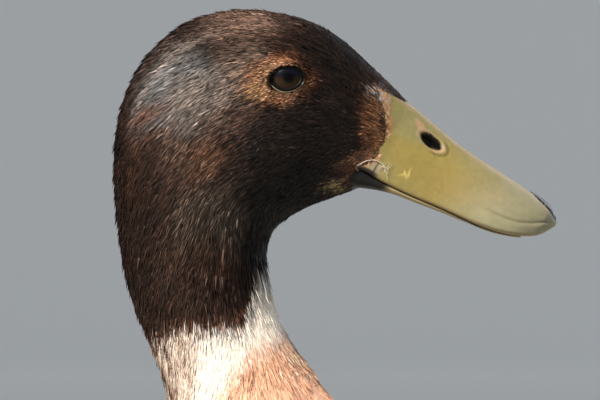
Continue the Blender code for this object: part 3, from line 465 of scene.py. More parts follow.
def plumage_colour(point, u, v):
    """The markings at points of the plumage, as linear colours: the soft patches, some of them painted sheen
    and painted shade, the tan ring round the eye, a dark line along the nape, partly painted shade, with a
    painted highlight beside it, and the white ring over the fawn breast, with painted shade along its back
    edge."""
    own = own_mm(point)
    x, z = own[..., 0], own[..., 2]
    wander = 3.0 * mottle(point, 7, 1)
    colour = washed(flat_colour("#2b1d18", point), *(
        (code, soft_patch(x + wander, z + 0.6 * wander, *oval, strength))
        for *oval, code, strength in PATCHES))
    ring = np.hypot((x - EYE_X + 2.2) / 9.8, (z - EYE_Z + 0.2) / 7.0)
    ring = ring + 0.12 * mottle(point, 2.5, 2) + 0.22 * mottle(point, 0.7, 3)
    behind = 0.62 + 0.38 * smooth_step(6, -3, (x - EYE_X) - 0.4 * (z - EYE_Z))
    low = from_back(v)
    nape = smooth_step(4.3, 5.0, u) * smooth_step(7.4, 6.6, u)
    ragged = 1.6 * mottle(point, 1.6, 4) + 1.2 * mottle(point, 4, 5)
    above = z - np.interp(x, *BACK_WHITE_EDGE) + ragged
    below = np.interp(x, *FRONT_WHITE_EDGE) - z + ragged
    colour = washed(
        colour,
        ("#75442b", 0.8 * behind * smooth_step(1.2, 0.8, ring)),
        ("#8d6c53", 0.9 * behind * smooth_step(1.0, 0.66, ring)),
        ("#ab8763", 0.6 * soft_patch(x, z, 90, 395.3, 4.5, 3, 0)),
        ("#8f6850", 0.5 * soft_patch(x, z, 97.5, 392.8, 4.5, 2.2, 0)),
        # Down the nape's middle: a dark line, partly painted shade where the feathers part, and a painted
        # highlight line beside it.
        ("#271a14", 0.85 * nape * smooth_step(0.56, 0.46, low)),
        ("#7c6f68", 0.35 * nape * np.exp(-((low - 0.62) / 0.05) ** 2)),
        ("#452b1f", 0.8 * smooth_step(5.4, 0.6, above)),
        ("#6b4734", 0.5 * smooth_step(2.2, 0.0, above)))
    streak = smooth_step(-0.25, 0.3, mottle(point * np.array([1, 1, 0.4]), 3.8, 6))
    streak = streak * np.maximum(soft_patch(x, z, 66, 309, 8, 20, 0), 0.04)
    white = washed(
        flat_colour("#efe7dd", point),
        ("#c9b3a2", soft_patch(x, z, 66, 309, 8, 20, 0, 0.6)),
        ("#6f584c", 0.85 * streak),
        # Darker along the back line: painted shade at the nape's edge.
        ("#3a2a20", 0.7 * smooth_step(0.42, 0.24, low)))
    colour = colour + (white - colour) * smooth_step(0.8, -0.8, above)[..., None]
    return colour + (body_colour(point, u, v) - colour) * smooth_step(-1.2, 1.2, below)[..., None]


def body_colour(point, u, v):
    """The markings of the trunk: a fawn breast with brown mottles at its top, pale flanks and
    belly, and a dark mantle, back, rump and undertail."""
    own = own_mm(point)
    x, z = own[..., 0], own[..., 2]
    low = from_back(v) + 0.08 * mottle(point, 14, 21)
    place = u + 0.25 * mottle(point, 18, 22)
    streak = mottle(point * np.array([1, 1, 0.5]), 2.0, 7) + 0.3 * mottle(point, 1.0, 8)
    front = soft_patch(x, z, 105, 311, 7, 15, -35, 0.85)
    collar = soft_patch(x, z, 101.5, 318.0, 6.5, 3.2, -42, 0.85)
    meeting = smooth_step(5.0, 1.5, np.interp(x, *FRONT_WHITE_EDGE) - z)
    pale = smooth_step(16.3, 17.8, place + 0.5 * smooth_step(1.8, 3.1, low)) * smooth_step(1.0, 1.5, low)
    return washed(
        flat_colour("#e4b497", point),
        ("#85604e", 0.4 * smooth_step(0.15, 0.6, streak)),
        ("#ecd2b8", 0.4 * smooth_step(0.15, 0.7, -streak)),
        ("#6d4a3a", front * smooth_step(-0.1, 0.5, mottle(point, 2.2, 9))),
        ("#5d4537", collar * smooth_step(-0.4, 0.3, mottle(point, 1.4, 10))),
        ("#86634f", 0.55 * meeting * smooth_step(-0.3, 0.4, mottle(point, 1.8, 11))),
        ("#b98056", 0.6 * smooth_step(14.6, 16.0, place) * smooth_step(0.8, 1.6, low)),
        ("#d4c9b6", pale),
        ("#5a483c", smooth_step(14.3, 15.6, place) * smooth_step(1.25, 0.75, low)),
        ("#33271f", smooth_step(18.5, 20.5, place) * smooth_step(1.35, 0.95, low)),
        ("#3b2d25", smooth_step(21.3, 22.2, place) * smooth_step(1.7, 2.3, low)))


def lacing_colour(colour, u, v):
    """The paler edge of each trunk feather: cream, and less plain on the dark back."""
    low = from_back(v)
    return washed(
        colour,
        ("#e9d6b8", 0.62 - 0.4 * smooth_step(17.5, 20.0, u) * smooth_step(1.45, 1.05, low)),
        ("#ddd3c1", 0.5 * smooth_step(16.0, 18.0, u) * smooth_step(1.1, 1.6, low)))


def add_colours(piece, name, colours):
    """Stores a linear colour for each point of a piece."""
    held = piece.data.attributes.new(name, "FLOAT_COLOR", "POINT")
    filled = np.concatenate([colours, np.ones(colours.shape[:-1] + (1,))], -1)
    held.data.foreach_set("color", np.ascontiguousarray(filled, np.float32).ravel())


def tinted_finish(name, held, **sockets):
    """A material whose colour is what the points hold under a name, and its shader."""
    finish, shader = new_finish(name, **sockets)
    tint = add_node(finish, "Attribute", {"attribute_name": held})
    link(finish, tint.outputs["Color"], shader.inputs["Base Color"])
    return finish, shader


def joined(parts):
    """The points and faces of several bodies as those of one."""
    starts = np.cumsum([0] + [len(points) for points, _ in parts[:-1]])
    return (np.concatenate([points for points, _ in parts]),
            np.concatenate([faces + start for (_, faces), start in zip(parts, starts)]))


def set_in_place(piece, finish, slot, *solids):
    """Gives a piece its finish, lets it ride on the still bird, and hides the solids of the frame whose place
    it takes, if any. The slot that it belongs to is not used."""
    piece.data.materials.append(finish)
    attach(piece, "root")
    if solids:
        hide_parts(*solids)


def make_skin():
    """The skin of head, neck and trunk as one closed tube, and a closed tube for each thigh."""
    places = np.concatenate([np.linspace(-0.12, 12, 150), np.linspace(12, 23.2, 90)[1:]])
    u, v = np.meshgrid(places, full_turn(120), indexing="ij")
    point, _, _, normal = surface_frame(plumage_point, u, v)
    own = own_mm(point)
    socket = SOCKET_DEPTH * smooth_step(1.35, 1.0, lens_distance(own[..., 0], own[..., 2]))
    depth = np.interp(u, *COAT_DEPTH) + socket + BILL_ROOT_DEPTH * smooth_step(1.3, 0.5, u)
    parts = [closed_tube(point - normal * (depth * MM)[..., None])]
    flat_u, flat_v = np.append(u.ravel(), (places[0], places[-1])), np.append(v.ravel(), (0, 0))
    for side in (-1, 1):
        thigh = np.array([[((x + (deep - 1) * math.cos(t)) * MM + SHIFT,
                            (side * y + (wide - 1) * math.sin(t)) * MM, z * MM) for t in -full_turn(24)]
                          for x, y, z, deep, wide in THIGH_RINGS])
        parts.append(closed_tube(thigh))
        flat_u, flat_v = (np.append(held, np.full(len(parts[-1][0]), value))
                          for held, value in ((flat_u, 19.0), (flat_v, 2.4 * side)))
    points, faces = joined(parts)
    skin = put_mesh("skin", points, faces)
    colour = plumage_colour(points, flat_u, flat_v)
    # The skin wears the plumage's markings painted darker, less so where they are pale: painted shade in the
    # gaps between the feathers.
    add_colours(skin, "plumage", colour * (0.35 + 0.4 * smooth_step(0.2, 0.5, colour[:, 1:2])))
    finish, _ = tinted_finish("soft warm skin under down", "plumage", Roughness=0.8, Specular_IOR_Level=0.1)
    set_in_place(skin, finish, "body_plumage", "head", "neck", "torso", "thigh_left", "thigh_right")


make_skin()

# Bill: a horn sheath over bone, olive-yellow and grown in one piece with a soft fine grain. Its
# upper half arches over a hollow, its rim is a raised roll near the tip, and the nostril opens
# in a groove. The lower half lies between the rims. A skin of bare speckled horn joins it to
# the face's feathers.
BILL_ROOT_X, BILL_ROOT_Z = 127.0, 379.98
BILL_SLOPE = math.radians(30.5)
BILL_P = (-6.0, 0.0, 5.0, 11.0, 18.0, 26.0, 34.0, 42.0, 48.0, 52.5, 55.5, 57.3)
CULMEN_Q = (15.6, 14.9, 14.3, 13.3, 12.15, 11.3, 10.95, 10.6, 10.2, 9.7, 8.4, 6.6)
RIM_Q = (-9.6, -9.7, -9.7, -9.35, -8.6, -7.5, -6.7, -5.5, -3.6, -1.3, 1.5, 4.6)
BILL_HALF_WIDTH = (10.9, 10.9, 10.9, 10.9, 11.1, 11.8, 12.7, 13.1, 12.4, 10.4, 7.6, 4.4)
CHIN_P = (0.0, 5.0, 11.0, 18.0, 26.0, 34.0, 42.0, 50.5)
CHIN_Q = (-15.3, -13.1, -11.2, -10.0, -8.6, -7.35, -5.3, -2.2)
TIP_START, TIP_TURN, TIP_LENGTH, TIP_HALF_WIDTH, TIP_END_Q = 54.0, 0.674, 10.1, 11.77, 57.3
TIP_MIDDLE = TIP_START - TIP_LENGTH * math.sin(TIP_TURN)
TIP_STEP = TIP_LENGTH * math.cos(TIP_TURN)
HOLLOW_DEPTH, KEEL_POWER = 2.6, 0.55
ARCH_POWER, ARCH_SHARE_POWER = 0.9, 2.22
NAIL_MIDDLE, NAIL_HALF_LENGTH, NAIL_HALF_WIDTH, NAIL_RISE, NAIL_SUNK = 52.4, 6.3, 5.2, 0.42, 0.8
NOSTRIL_P, NOSTRIL_Q = 12.8, 8.2
NOSTRIL_HALF_LENGTH, NOSTRIL_HALF_HEIGHT, NOSTRIL_TILT = 3.7, 1.75, math.radians(-8)
# The line over the raised rim near the tip: distance along the bill and height.
RIM_LINE = ((33.0, 35.5, 43.6, 47.6, 51.0, 54.2, 58.0), (-2.0, -1.3, -0.3, 0.7, 2.4, 4.6, 6.0))

# Where the face's feathers end on the bill, seen from the side: z upwards against x, and the
# wedge of feathers that runs on along the culmen.
FEATHER_LINE = ((340, 363, 366, 372.5, 374.5, 378, 383.5, 388, 393, 396.5, 420),
                (112, 117, 118.5, 120.5, 124.5, 127.6, 128.5, 128.4, 127.3, 126.0, 126.0))
WEDGE_START, WEDGE_LENGTH, WEDGE_DROP = (126.0, 396.5), 8.6, 4.3


def bill_place(p, y, q):
    """A point of the bill's own frame, p along the bill and q up from it, in the scene."""
    x = BILL_ROOT_X + p * math.cos(BILL_SLOPE) + q * math.sin(BILL_SLOPE)
    z = BILL_ROOT_Z - p * math.sin(BILL_SLOPE) + q * math.cos(BILL_SLOPE)
    return np.stack([x * MM + SHIFT, y * MM, z * MM], -1)


def bill_axes(own):
    """How far places lie along the bill, and how far up from its line."""
    dx, dz = own[..., 0] - BILL_ROOT_X, own[..., 2] - BILL_ROOT_Z
    return (dx * math.cos(BILL_SLOPE) - dz * math.sin(BILL_SLOPE),
            dx * math.sin(BILL_SLOPE) + dz * math.cos(BILL_SLOPE))


def arch_foot(culmen, rim):
    """The height at which the arch of the upper bill springs from its upright rim."""
    return rim + np.minimum(1.0, 0.3 * (culmen - rim))


def bill_sizes(s):
    """Along the bill: distance, culmen, rim and half width. Past the tip's start the place is an
    angle: the distance goes as its sine and the width as its cosine, so that the tip is round."""
    turn = np.clip(TIP_TURN + (s - TIP_START) / TIP_STEP, TIP_TURN, math.pi / 2)
    p = np.where(s > TIP_START, TIP_MIDDLE + TIP_LENGTH * np.sin(turn), s)
    held = np.minimum(p, TIP_END_Q)
    culmen, rim, width = (spline(BILL_P, np.array(row)[:, None], held)[..., 0]
                          for row in (CULMEN_Q, RIM_Q, BILL_HALF_WIDTH))
    width = np.where(s > TIP_START, TIP_HALF_WIDTH * np.cos(turn), width)
    blunt = np.sqrt(np.clip(1 - ((p - TIP_END_Q) / 0.5) ** 2, 0, 1)) * (p > TIP_END_Q) + (p <= TIP_END_Q)
    middle, half = (culmen + rim) / 2, (culmen - rim) / 2 * blunt
    width = width + 0.6 * smooth_step(4, -1, p)
    return p, middle + half, middle - half, width


def nostril_distance(p, q):
    """Distance from the nostril's middle as a share of its oval edge."""
    c, s = math.cos(NOSTRIL_TILT), math.sin(NOSTRIL_TILT)
    along, up = p - NOSTRIL_P, q - NOSTRIL_Q
    return np.hypot((along * c + up * s) / NOSTRIL_HALF_LENGTH, (up * c - along * s) / NOSTRIL_HALF_HEIGHT)


def bill_relief(p, y, q):
    """Height over the plain arch: the nostril is a steep bowl with a low rim in a shallow
    groove, and near the tip a fine step stands over the swelling of the rim."""
    oval = nostril_distance(p, q)
    groove = nostril_distance((p - 1.5) * 0.62 + 5.6, (q + 0.5) * 0.6 + 3.1)
    line = q - np.interp(p, *RIM_LINE)
    near = smooth_step(33, 40, p) * smooth_step(2, 5, np.abs(y))
    crease = 0.22 * near * smooth_step(56.0, 54.0, p) * np.exp(-(line / 0.35) ** 2)
    return (-3.4 * smooth_step(1.06, 0.62, oval) + 0.28 * np.exp(-((oval - 1.28) / 0.2) ** 2)
            - 0.35 * smooth_step(1.15, 0.5, groove) * (oval > 1) - crease
            + 0.32 * near * smooth_step(0.2, -1.6, line))


def bill_colour(point, p, y, q):
    """Olive-yellow at the root, grey-olive at the tip, clouded; pink-tan round the nostril and on the rim at
    the root; painted shade makes it dark at the rim by the gape, within the nostril and in the line over the
    rim."""
    cloud = mottle(point, 9, 31)
    fine = mottle(point, 1.1, 32)
    culmen, rim = (np.interp(p, BILL_P, row) for row in (CULMEN_Q, RIM_Q))
    crest = smooth_step(2.2, 0.4, culmen - q)
    crease = np.exp(-(mottle(point, 1.6, 30) / 0.16) ** 2)
    edge = smooth_step(0.3, 0.08, culmen - q)
    speck = smooth_step(0.62, 0.8, mottle(point, 0.45, 29))
    hairs = 0.6 + 0.4 * mottle(point, 0.5, 25)
    oval = nostril_distance(p, q)
    tilt = (p - NOSTRIL_P) * 0.8 - (q - NOSTRIL_Q) * 0.6
    ends = smooth_step(1.0, 3.5, np.abs(tilt))
    line = q - np.interp(p, *RIM_LINE)
    near = smooth_step(34, 42, p) * smooth_step(2, 5, np.abs(y)) * smooth_step(56.0, 54.0, p)
    colour = washed(
        flat_colour("#80774a", point),
        ("#82743c", soft_patch(p, q, 15, 1, 17, 10, -10, 0.8)),
        ("#86846c", smooth_step(20, 44, p + 4 * cloud) * 0.9),
        ("#757452", soft_patch(p, q, 6, 9, 8, 5, 0, 0.6)),
        ("#8c7350", soft_patch(p, q, 30, 2, 15, 5, 15, 0.3) * (0.6 + 0.4 * cloud)),
        ("#94805a", 0.6 * crest),
        ("#8a6a45", 0.35 * smooth_step(1.2, 0.3, q - rim)),
        ("#c9b56c", 0.75 * crease * soft_patch(p, q, 11.0, -4.2, 3.6, 1.3, 55)),
        ("#a3744c", 0.45 * edge * smooth_step(0.0, 0.4, mottle(point, 0.9, 27))),
        ("#a99a86", 0.6 * speck * (0.25 + 0.75 * crest)),
        ("#948778", hairs * soft_patch(p, q, 1.8, -7.2, 3.4, 2.3, 0, 0.9)),
        # Painted shade at the rim by the gape.
        ("#1f1d1c", smooth_step(5.5, 2.5, p) * smooth_step(1.5, 0.9, q - rim)),
        ("#a58a74", (0.15 + 0.6 * ends) * np.exp(-((oval - 1.2) / 0.14) ** 2)),
        ("#a5806a", 0.6 * soft_patch(p, q, 7.6, 10.6, 2.6, 1.2, -25)),
        ("#3b3524", 0.7 * smooth_step(1.0, 3.0, tilt) * np.exp(-((oval - 1.62) / 0.1) ** 2)),
        # Painted shade within the nostril's hollow.
        ("#050504", smooth_step(1.08, 0.95, oval)),
        # Painted shade in the groove over the raised rim.
        ("#5f5c44", 0.6 * near * np.exp(-(line / 0.32) ** 2)))
    return colour * (1 + 0.08 * fine + 0.08 * cloud)[..., None]


def horn_finish(name, roughness):
    """Grown horn, smooth and a little waxy: fine pores and soft waves break up its gloss."""
    finish, shader = tinted_finish(name, "horn", Specular_IOR_Level=0.3, Subsurface_Weight=0.06,
                                   Subsurface_Radius=(0.004, 0.002, 0.001), Subsurface_Scale=0.5)
    place = add_node(finish, "TexCoord")
    pores = add_node(finish, "TexNoise", inputs={
        "Vector": place.outputs["Object"], "Scale": 1 / (1.2 * MM), "Detail": 3.0})
    waves = add_node(finish, "TexNoise", inputs={
        "Vector": place.outputs["Object"], "Scale": 1 / (5 * MM), "Detail": 2.0})
    gloss = add_node(finish, "MapRange", inputs={
        "Value": waves.outputs["Fac"], "To Min": roughness - 0.07, "To Max": roughness + 0.1})
    relief = add_node(finish, "Bump", inputs={
        "Height": pores.outputs["Fac"], "Strength": 0.12, "Distance": 0.3 * MM})
    link(finish, gloss.outputs["Result"], shader.inputs["Roughness"])
    link(finish, relief.outputs["Normal"], shader.inputs["Normal"])
    return finish


def make_upper_bill(finish):
    """Rings from the left rim over the arch to the right rim and back under the hollow palate:
    over the arch the height goes as the cosine of its angle and the width as its sine to a
    power just under one."""
    tip_end = TIP_START + TIP_STEP * (math.pi / 2 - TIP_TURN - 0.02)
    s = np.concatenate([np.arange(-8, 4, 0.5), np.arange(4, 23, 0.3), np.arange(23, TIP_START, 0.5),
                        np.linspace(TIP_START, tip_end, 24)])
    a = np.linspace(math.pi / 2, -math.pi / 2, 121)
    p, culmen, rim, width = (held[:, None] for held in bill_sizes(s))
    foot = arch_foot(culmen, rim)
    y = width * np.abs(np.sin(a)) ** ARCH_POWER * np.sign(np.sin(a))
    q = foot + (culmen - foot) * np.cos(a)
    plain = np.broadcast_arrays(p, y, q)
    relief = bill_relief(*plain)
    flat = bill_place(*plain)
    slope_a, slope_s = np.gradient(flat, axis=1), np.gradient(flat, s, axis=0)
    normal = np.cross(slope_a, slope_s)
    normal /= np.maximum(np.linalg.norm(normal, axis=-1, keepdims=True), 1e-12)
    outer = flat + normal * (relief * MM)[..., None]
    half, low = np.array(((0, 1), (0.3, 1), (0.6, 1), (0.77, 1), (0.81, 0.25), (0.87, 0.02),
                          (0.94, 0), (0.985, 0.35))).T
    share, rise = np.concatenate([-half[:0:-1], half]), np.concatenate([low[:0:-1], low])
    depth = HOLLOW_DEPTH * np.interp(p, (52.5, 57.3), (1.0, 0.1))
    under = bill_place(*np.broadcast_arrays(p, width * share, rim + np.where(rise < 1, rise, depth)))
    rings = np.concatenate([outer, under], 1)
    points, faces = closed_tube(rings)
    bill = put_mesh("upper_bill", points, faces)
    own = own_mm(points)
    along, up = bill_axes(own)
    add_colours(bill, "horn", bill_colour(points, along, own[:, 1], up))
    set_in_place(bill, finish, "bill_horn", "bill_upper")


def make_lower_bill(finish):
    """Rings of the lower bill from the chin to short of the tip: a keel under a flat top, whose
    width and height go as low powers of sine and cosine, so that its sides stand upright."""
    s = np.concatenate([np.arange(-7, 46, 0.5), 46 + 4.5 * np.sin(np.linspace(0, 0.48 * math.pi, 16))])
    p, _, rim, width = (held[:, None] for held in bill_sizes(s))
    close = np.sqrt(np.clip(1 - ((p - 46) / 4.6) ** 2, 0.01, 1)) * (p > 46) + (p <= 46)
    chin = spline(CHIN_P, np.array(CHIN_Q)[:, None], np.clip(p, 0, 50.5))[..., 0]
    top = rim - 0.15
    half = (width * np.interp(p, (20, 44), (0.93, 0.84)) - 0.2) * close
    a = np.linspace(math.pi / 2, -math.pi / 2, 49)
    edge = top - 0.4
    keel_y = -half * np.sign(np.sin(a)) * np.abs(np.sin(a)) ** KEEL_POWER
    keel_q = edge - (edge - chin) * np.abs(np.cos(a)) ** KEEL_POWER * (0.35 + 0.65 * close)
    lid = np.array((0.94, 0.8, 0.4, 0, -0.4, -0.8, -0.94))
    rings = np.concatenate([bill_place(*np.broadcast_arrays(p, keel_y, keel_q)),
                            bill_place(*np.broadcast_arrays(p, half * lid, top))], 1)
    points, faces = closed_tube(rings)
    bill = put_mesh("lower_bill", points, faces)
    along, _ = bill_axes(own_mm(points))
    colour = washed(flat_colour("#8b7f5b", points),
                    # Black towards the root: painted shade under the gape.
                    ("#080706", smooth_step(10.5, 7, along + mottle(points, 3, 33))))
    add_colours(bill, "horn", colour * (1 + 0.08 * mottle(points, 2, 34))[:, None])
    set_in_place(bill, finish, "bill_horn", "bill_lower")


def make_nail(finish):
    """The nail: rings of an oval round the tip's middle, laid on the bill's own arch and raised
    a little over it, closed by the same rings sunk below it."""
    r = np.concatenate([np.linspace(0.04, 0.9, 14), (0.95, 0.985, 1.0)])
    r, t = np.meshgrid(r, full_turn(64), indexing="ij")
    y = NAIL_HALF_WIDTH * r * np.sin(t)
    p, culmen, rim, width = bill_sizes(NAIL_MIDDLE + NAIL_HALF_LENGTH * r * np.cos(t))
    aside = np.clip(y / np.maximum(width, 1e-3), -0.999, 0.999)
    foot = arch_foot(culmen, rim)
    q = foot + (culmen - foot) * np.sqrt(1 - np.abs(aside) ** ARCH_SHARE_POWER)
    laid = bill_place(p, np.clip(y, -width, width), q)
    up = np.array([math.sin(BILL_SLOPE), 0, math.cos(BILL_SLOPE)]) * MM
    upper = laid + up * (NAIL_RISE * np.sqrt(1 - r ** 6) + 0.04 * (1 - r))[..., None]
    points, faces = closed_tube(np.concatenate([upper, (laid - up * NAIL_SUNK)[::-1]]))
    nail = put_mesh("bill_tip_nail", points, right_way(points, faces))
    add_colours(nail, "horn", washed(
        flat_colour("#171714", points),
        ("#4d4c44", 0.6 * smooth_step(0.1, 0.8, mottle(points, 1.0, 35))),
        ("#9a9a90", 0.7 * smooth_step(0.4, 0.7, mottle(points, 0.5, 28)))))
    set_in_place(nail, finish, "nail_horn", "bill_nail")


def over_bill(point, hold):
    """Lifts what lies inside the bill's arch to it by a smooth larger-of-both: a place's share of
    the arch is the root of its squared height share plus its width share to a power over two.
    Where hold falls to 0, what stands over the arch is brought down to it as well."""
    own = own_mm(point)
    y = own[..., 1]
    p, q = bill_axes(own)
    _, culmen, rim, width = bill_sizes(np.clip(p, -6, 20))
    foot = arch_foot(culmen, rim)
    share = np.sqrt((np.abs(y) / width) ** ARCH_SHARE_POWER
                    + np.maximum((q - foot) / (culmen - foot), 0) ** 2)
    wanted = (share - 1 + np.sqrt((share - 1) ** 2 + 0.05 ** 2)) / 2 * hold + 1
    grow = 1 + (wanted / np.maximum(share, 0.5) - 1) * smooth_step(-2.5, 0.5, q - foot)
    return bill_place(p, y * grow, np.where(q > foot, foot + (q - foot) * grow, q))


def face_point(u, v):
    """The outline of the face with a soft fold over the bill's root."""
    return over_bill(plumage_point(u, v), smooth_step(-0.5, 0.7, u))


def feathered(own, ragged):
    """Where the face carries feathers: behind the feather line, or in the wedge on the culmen."""
    behind = own[:, 0] < np.interp(own[:, 2], *FEATHER_LINE) + ragged
    along = (own[:, 0] - WEDGE_START[0]) / WEDGE_LENGTH
    return behind | ((own[:, 2] > WEDGE_START[1] - WEDGE_DROP * along) & (along < 1 + 0.1 * ragged))


def make_bill_base(finish):
    """The bare horn skin at the face: a closed shell that hugs the head's outline and runs out
    over the bill's root in a soft fold, with fine grains."""
    u, v = np.meshgrid(np.linspace(-0.5, 1.5, 80), full_turn(200), indexing="ij")
    point, _, _, normal = surface_frame(face_point, u, v)
    own = own_mm(point)
    edge = own[..., 0] - np.interp(own[..., 2], *FEATHER_LINE)
    grain = np.clip(mottle(point, 0.55, 36), 0, 1) * smooth_step(0.0, 0.5, u)
    sunk = 0.04 + 0.4 * smooth_step(-0.4, -1.6, edge) + 0.12 * smooth_step(-0.44, -0.5, u)
    outer = point + normal * ((0.2 * grain - sunk) * MM)[..., None]
    inner = point - normal * (1.5 * MM)
    points, faces = closed_loops(np.concatenate([outer, inner[::-1]]))
    base = put_mesh("bill_base", points, right_way(points, faces))
    own = own_mm(points)
    along, up = bill_axes(own)
    speck = mottle(points, 0.5, 37)
    edge = own[:, 0] - np.interp(own[:, 2], *FEATHER_LINE)
    ragged = mottle(points, 1.6, 38) + 0.5 * mottle(points, 0.5, 26)
    bluish = soft_patch(own[:, 0], own[:, 2], 127.5, 394.5, 3, 4, 0)
    add_colours(base, "horn", washed(
        bill_colour(points, along, own[:, 1], np.clip(up, -9, 16)),
        ("#97704f", 0.8 * smooth_step(2.9, 1.1, edge + 1.3 * ragged)),
        ("#c7a888", 0.7 * smooth_step(0.2, 0.5, -speck) * smooth_step(2.6, 1.0, edge)),
        ("#3f2a20", 0.8 * smooth_step(0.25, 0.6, speck) * smooth_step(2.2, 0.3, edge)),
        # Painted shade: dark where the shell lies under the feathers, so that the gaps between them look
        # dark.
        ("#2a1b14", smooth_step(0.2, -0.8, edge)),
        ("#1f1510", 0.9 * (feathered(own, 0.0) & (edge > -0.3))),
        ("#8d95a3", 0.8 * bluish * smooth_step(0.1, 0.45, mottle(points, 0.7, 39))),
        # Painted shade: black at the bottom, under the gape.
        ("#080706", smooth_step(-8.2, -9.2, up))))
    set_in_place(base, finish, "bill_horn")


bill_finish = horn_finish("grown olive bill horn", 0.42)
make_upper_bill(bill_finish)
make_lower_bill(horn_finish("grown lower bill horn", 0.6))
make_nail(horn_finish("dark polished nail horn", 0.3))
make_bill_base(bill_finish)

# Head and neck feathers: thousands of very small narrow feathers whose loose barbs look like
# fine hair. Each is a flat tapered tuft that springs from the skin and lies back over the next.
# The lie of the feathers in the side view: x, z and the direction they point in, in degrees.
LIE = np.array((
    (124, 399, 140), (112, 412, 155), (98, 419, 174), (80, 417, 184), (66, 411, 198), (56, 400, 195),
    (64, 398, 190), (85, 398, 213), (98, 407, 190), (69, 390, 212), (56, 388, 205), (66, 382, 235),
    (83, 388, 211), (104, 384, 187), (118, 388, 176), (114, 372, 196), (72, 376, 194), (88, 371, 196),
    (68, 367, 215), (54, 368, 247), (65, 360, 222), (75, 355, 234), (85, 353, 247), (93, 349, 262),
    (52, 352, 258), (66, 346, 243), (78, 338, 262), (91, 331, 279), (69, 316, 261), (82, 316, 260),
    (97, 314, 280), (106, 308, 292),
))
LIE_REACH = 7.0
# The bird's sides, and the sign of each across it.
SIDES = (("right", -1), ("left", 1))
# The pieces of the coat on either side: stretch of ring places, and tufts.
HEAD_COATS = {
    "face": ((-0.3, 2.6), 25000), "crown": ((2.6, 5.3), 24000), "nape": ((5.3, 8.4), 22000),
    "neck": ((8.4, 11.3), 20000), "ring": ((11.3, 14.6), 18000),
}
STROKE_SHARE = 0.28
# The tufts of a lock: how far each lies from its first along and across, in lengths and widths.
LOCK = np.array(((0, 0), (0.12, 0.75), (0.3, -0.6), (0.62, 0.25), (0.85, -0.35)))
# Ring place against the tufts' length and width in millimetres.
TUFT_PLACES = (-0.2, 0.5, 2.0, 3.5, 6.0, 9.0, 11.0, 13.0, 15.0)
TUFT_LENGTHS = (1.4, 2.0, 3.2, 4.4, 5.6, 6.4, 7.4, 9.0, 11.0)
TUFT_WIDTHS = (0.26, 0.30, 0.36, 0.40, 0.44, 0.48, 0.54, 0.68, 0.88)
# A tuft's four points, its root, both sides of its middle and its tip: the faces between them,
# their places on a flat patch, how light they are painted, with painted shade at the root and
# painted light at the tip, and how much lighter or darker where it is pale.
TUFT_FACES = np.array(((0, 2, 1), (3, 1, 2), (0, 1, 3), (0, 3, 2)))
TUFT_SHAPE = np.array(((0, -0.5), (-0.35, 0), (0.35, 0), (0, 0.5)))
TUFT_PAINTED_SHADING, PALE_PAINTED_SHADING = np.array((0.35, 0.85, 0.85, 1.2)), np.array((0.45, 0.13, 0.13, -0.2))
# Strokes are painted lighter, partly the feathers' own pale streaks and partly painted glints; the others
# darker, partly painted shade in the gaps.
STROKE_TONE, PLAIN_TONE = 1.6, 0.66
PATCH_SIZE = 0.003


def lie_of(own):
    """The side-view direction of the feathers: the table's directions blended by nearness."""
    away = (own[:, None, 0] - LIE[:, 0]) ** 2 + (own[:, None, 2] - LIE[:, 1]) ** 2
    weight = np.exp(-away / (2 * LIE_REACH ** 2)) + 1e-9 / (1 + away)
    turn = np.radians(LIE[:, 2])
    x, z = weight @ np.cos(turn), weight @ np.sin(turn)
    length = np.hypot(x, z)
    return np.stack([x / length, np.zeros_like(x), z / length], -1)


def scatter(count, stretch, side, chance):
    """Ring places and angles spread evenly over one side of a stretch of the plumage: cells are
    taken in a winding order, and the roots fall at even steps of their summed area."""
    rows, columns = 160, 120
    u_edges = np.linspace(*stretch, rows + 1)
    v_edges = np.linspace(0, math.pi, columns + 1)
    u, v = np.meshgrid((u_edges[1:] + u_edges[:-1]) / 2, (v_edges[1:] + v_edges[:-1]) / 2, indexing="ij")
    _, along, across, _ = surface_frame(plumage_point, u, v)
    weight = np.linalg.norm(np.cross(along, across), axis=-1)
    weight /= np.interp(u, TUFT_PLACES, TUFT_LENGTHS) * np.interp(u, TUFT_PLACES, TUFT_WIDTHS)
    cells = np.arange(rows * columns).reshape(rows, columns)
    cells[1::2] = cells[1::2, ::-1]
    order = cells.ravel()
    summed = np.cumsum(weight.ravel()[order])
    at = (np.arange(count) + chance.random(count)) / count * summed[-1]
    cell = order[np.minimum(np.searchsorted(summed, at), len(order) - 1)]
    row, column = np.divmod(cell, columns)
    u = u_edges[row] + chance.random(count) * (u_edges[1] - u_edges[0])
    v = v_edges[column] + chance.random(count) * (v_edges[1] - v_edges[0])
    return u, v * side


def unwrapped(u, v):
    """Places on an unwrap of the skin, one share along the bird and one round it, spread over
    the whole of the piece's own square."""
    flat = np.stack([u, v], -1)
    low, high = flat.min(0), flat.max(0)
    return PATCH_SIZE + (1 - 2 * PATCH_SIZE) * (flat - low) / (high - low)


def add_bake_map(piece, roots, shape, faces):
    """The map for baking: each tuft is a small patch of its own shape at its root's place."""
    corners = (roots[:, None, :] + shape * PATCH_SIZE)[:, faces.ravel()]
    piece.data.uv_layers.new(name="OFBake")
    piece.data.uv_layers["OFBake"].data.foreach_set("uv", np.ascontiguousarray(corners, np.float32).ravel())


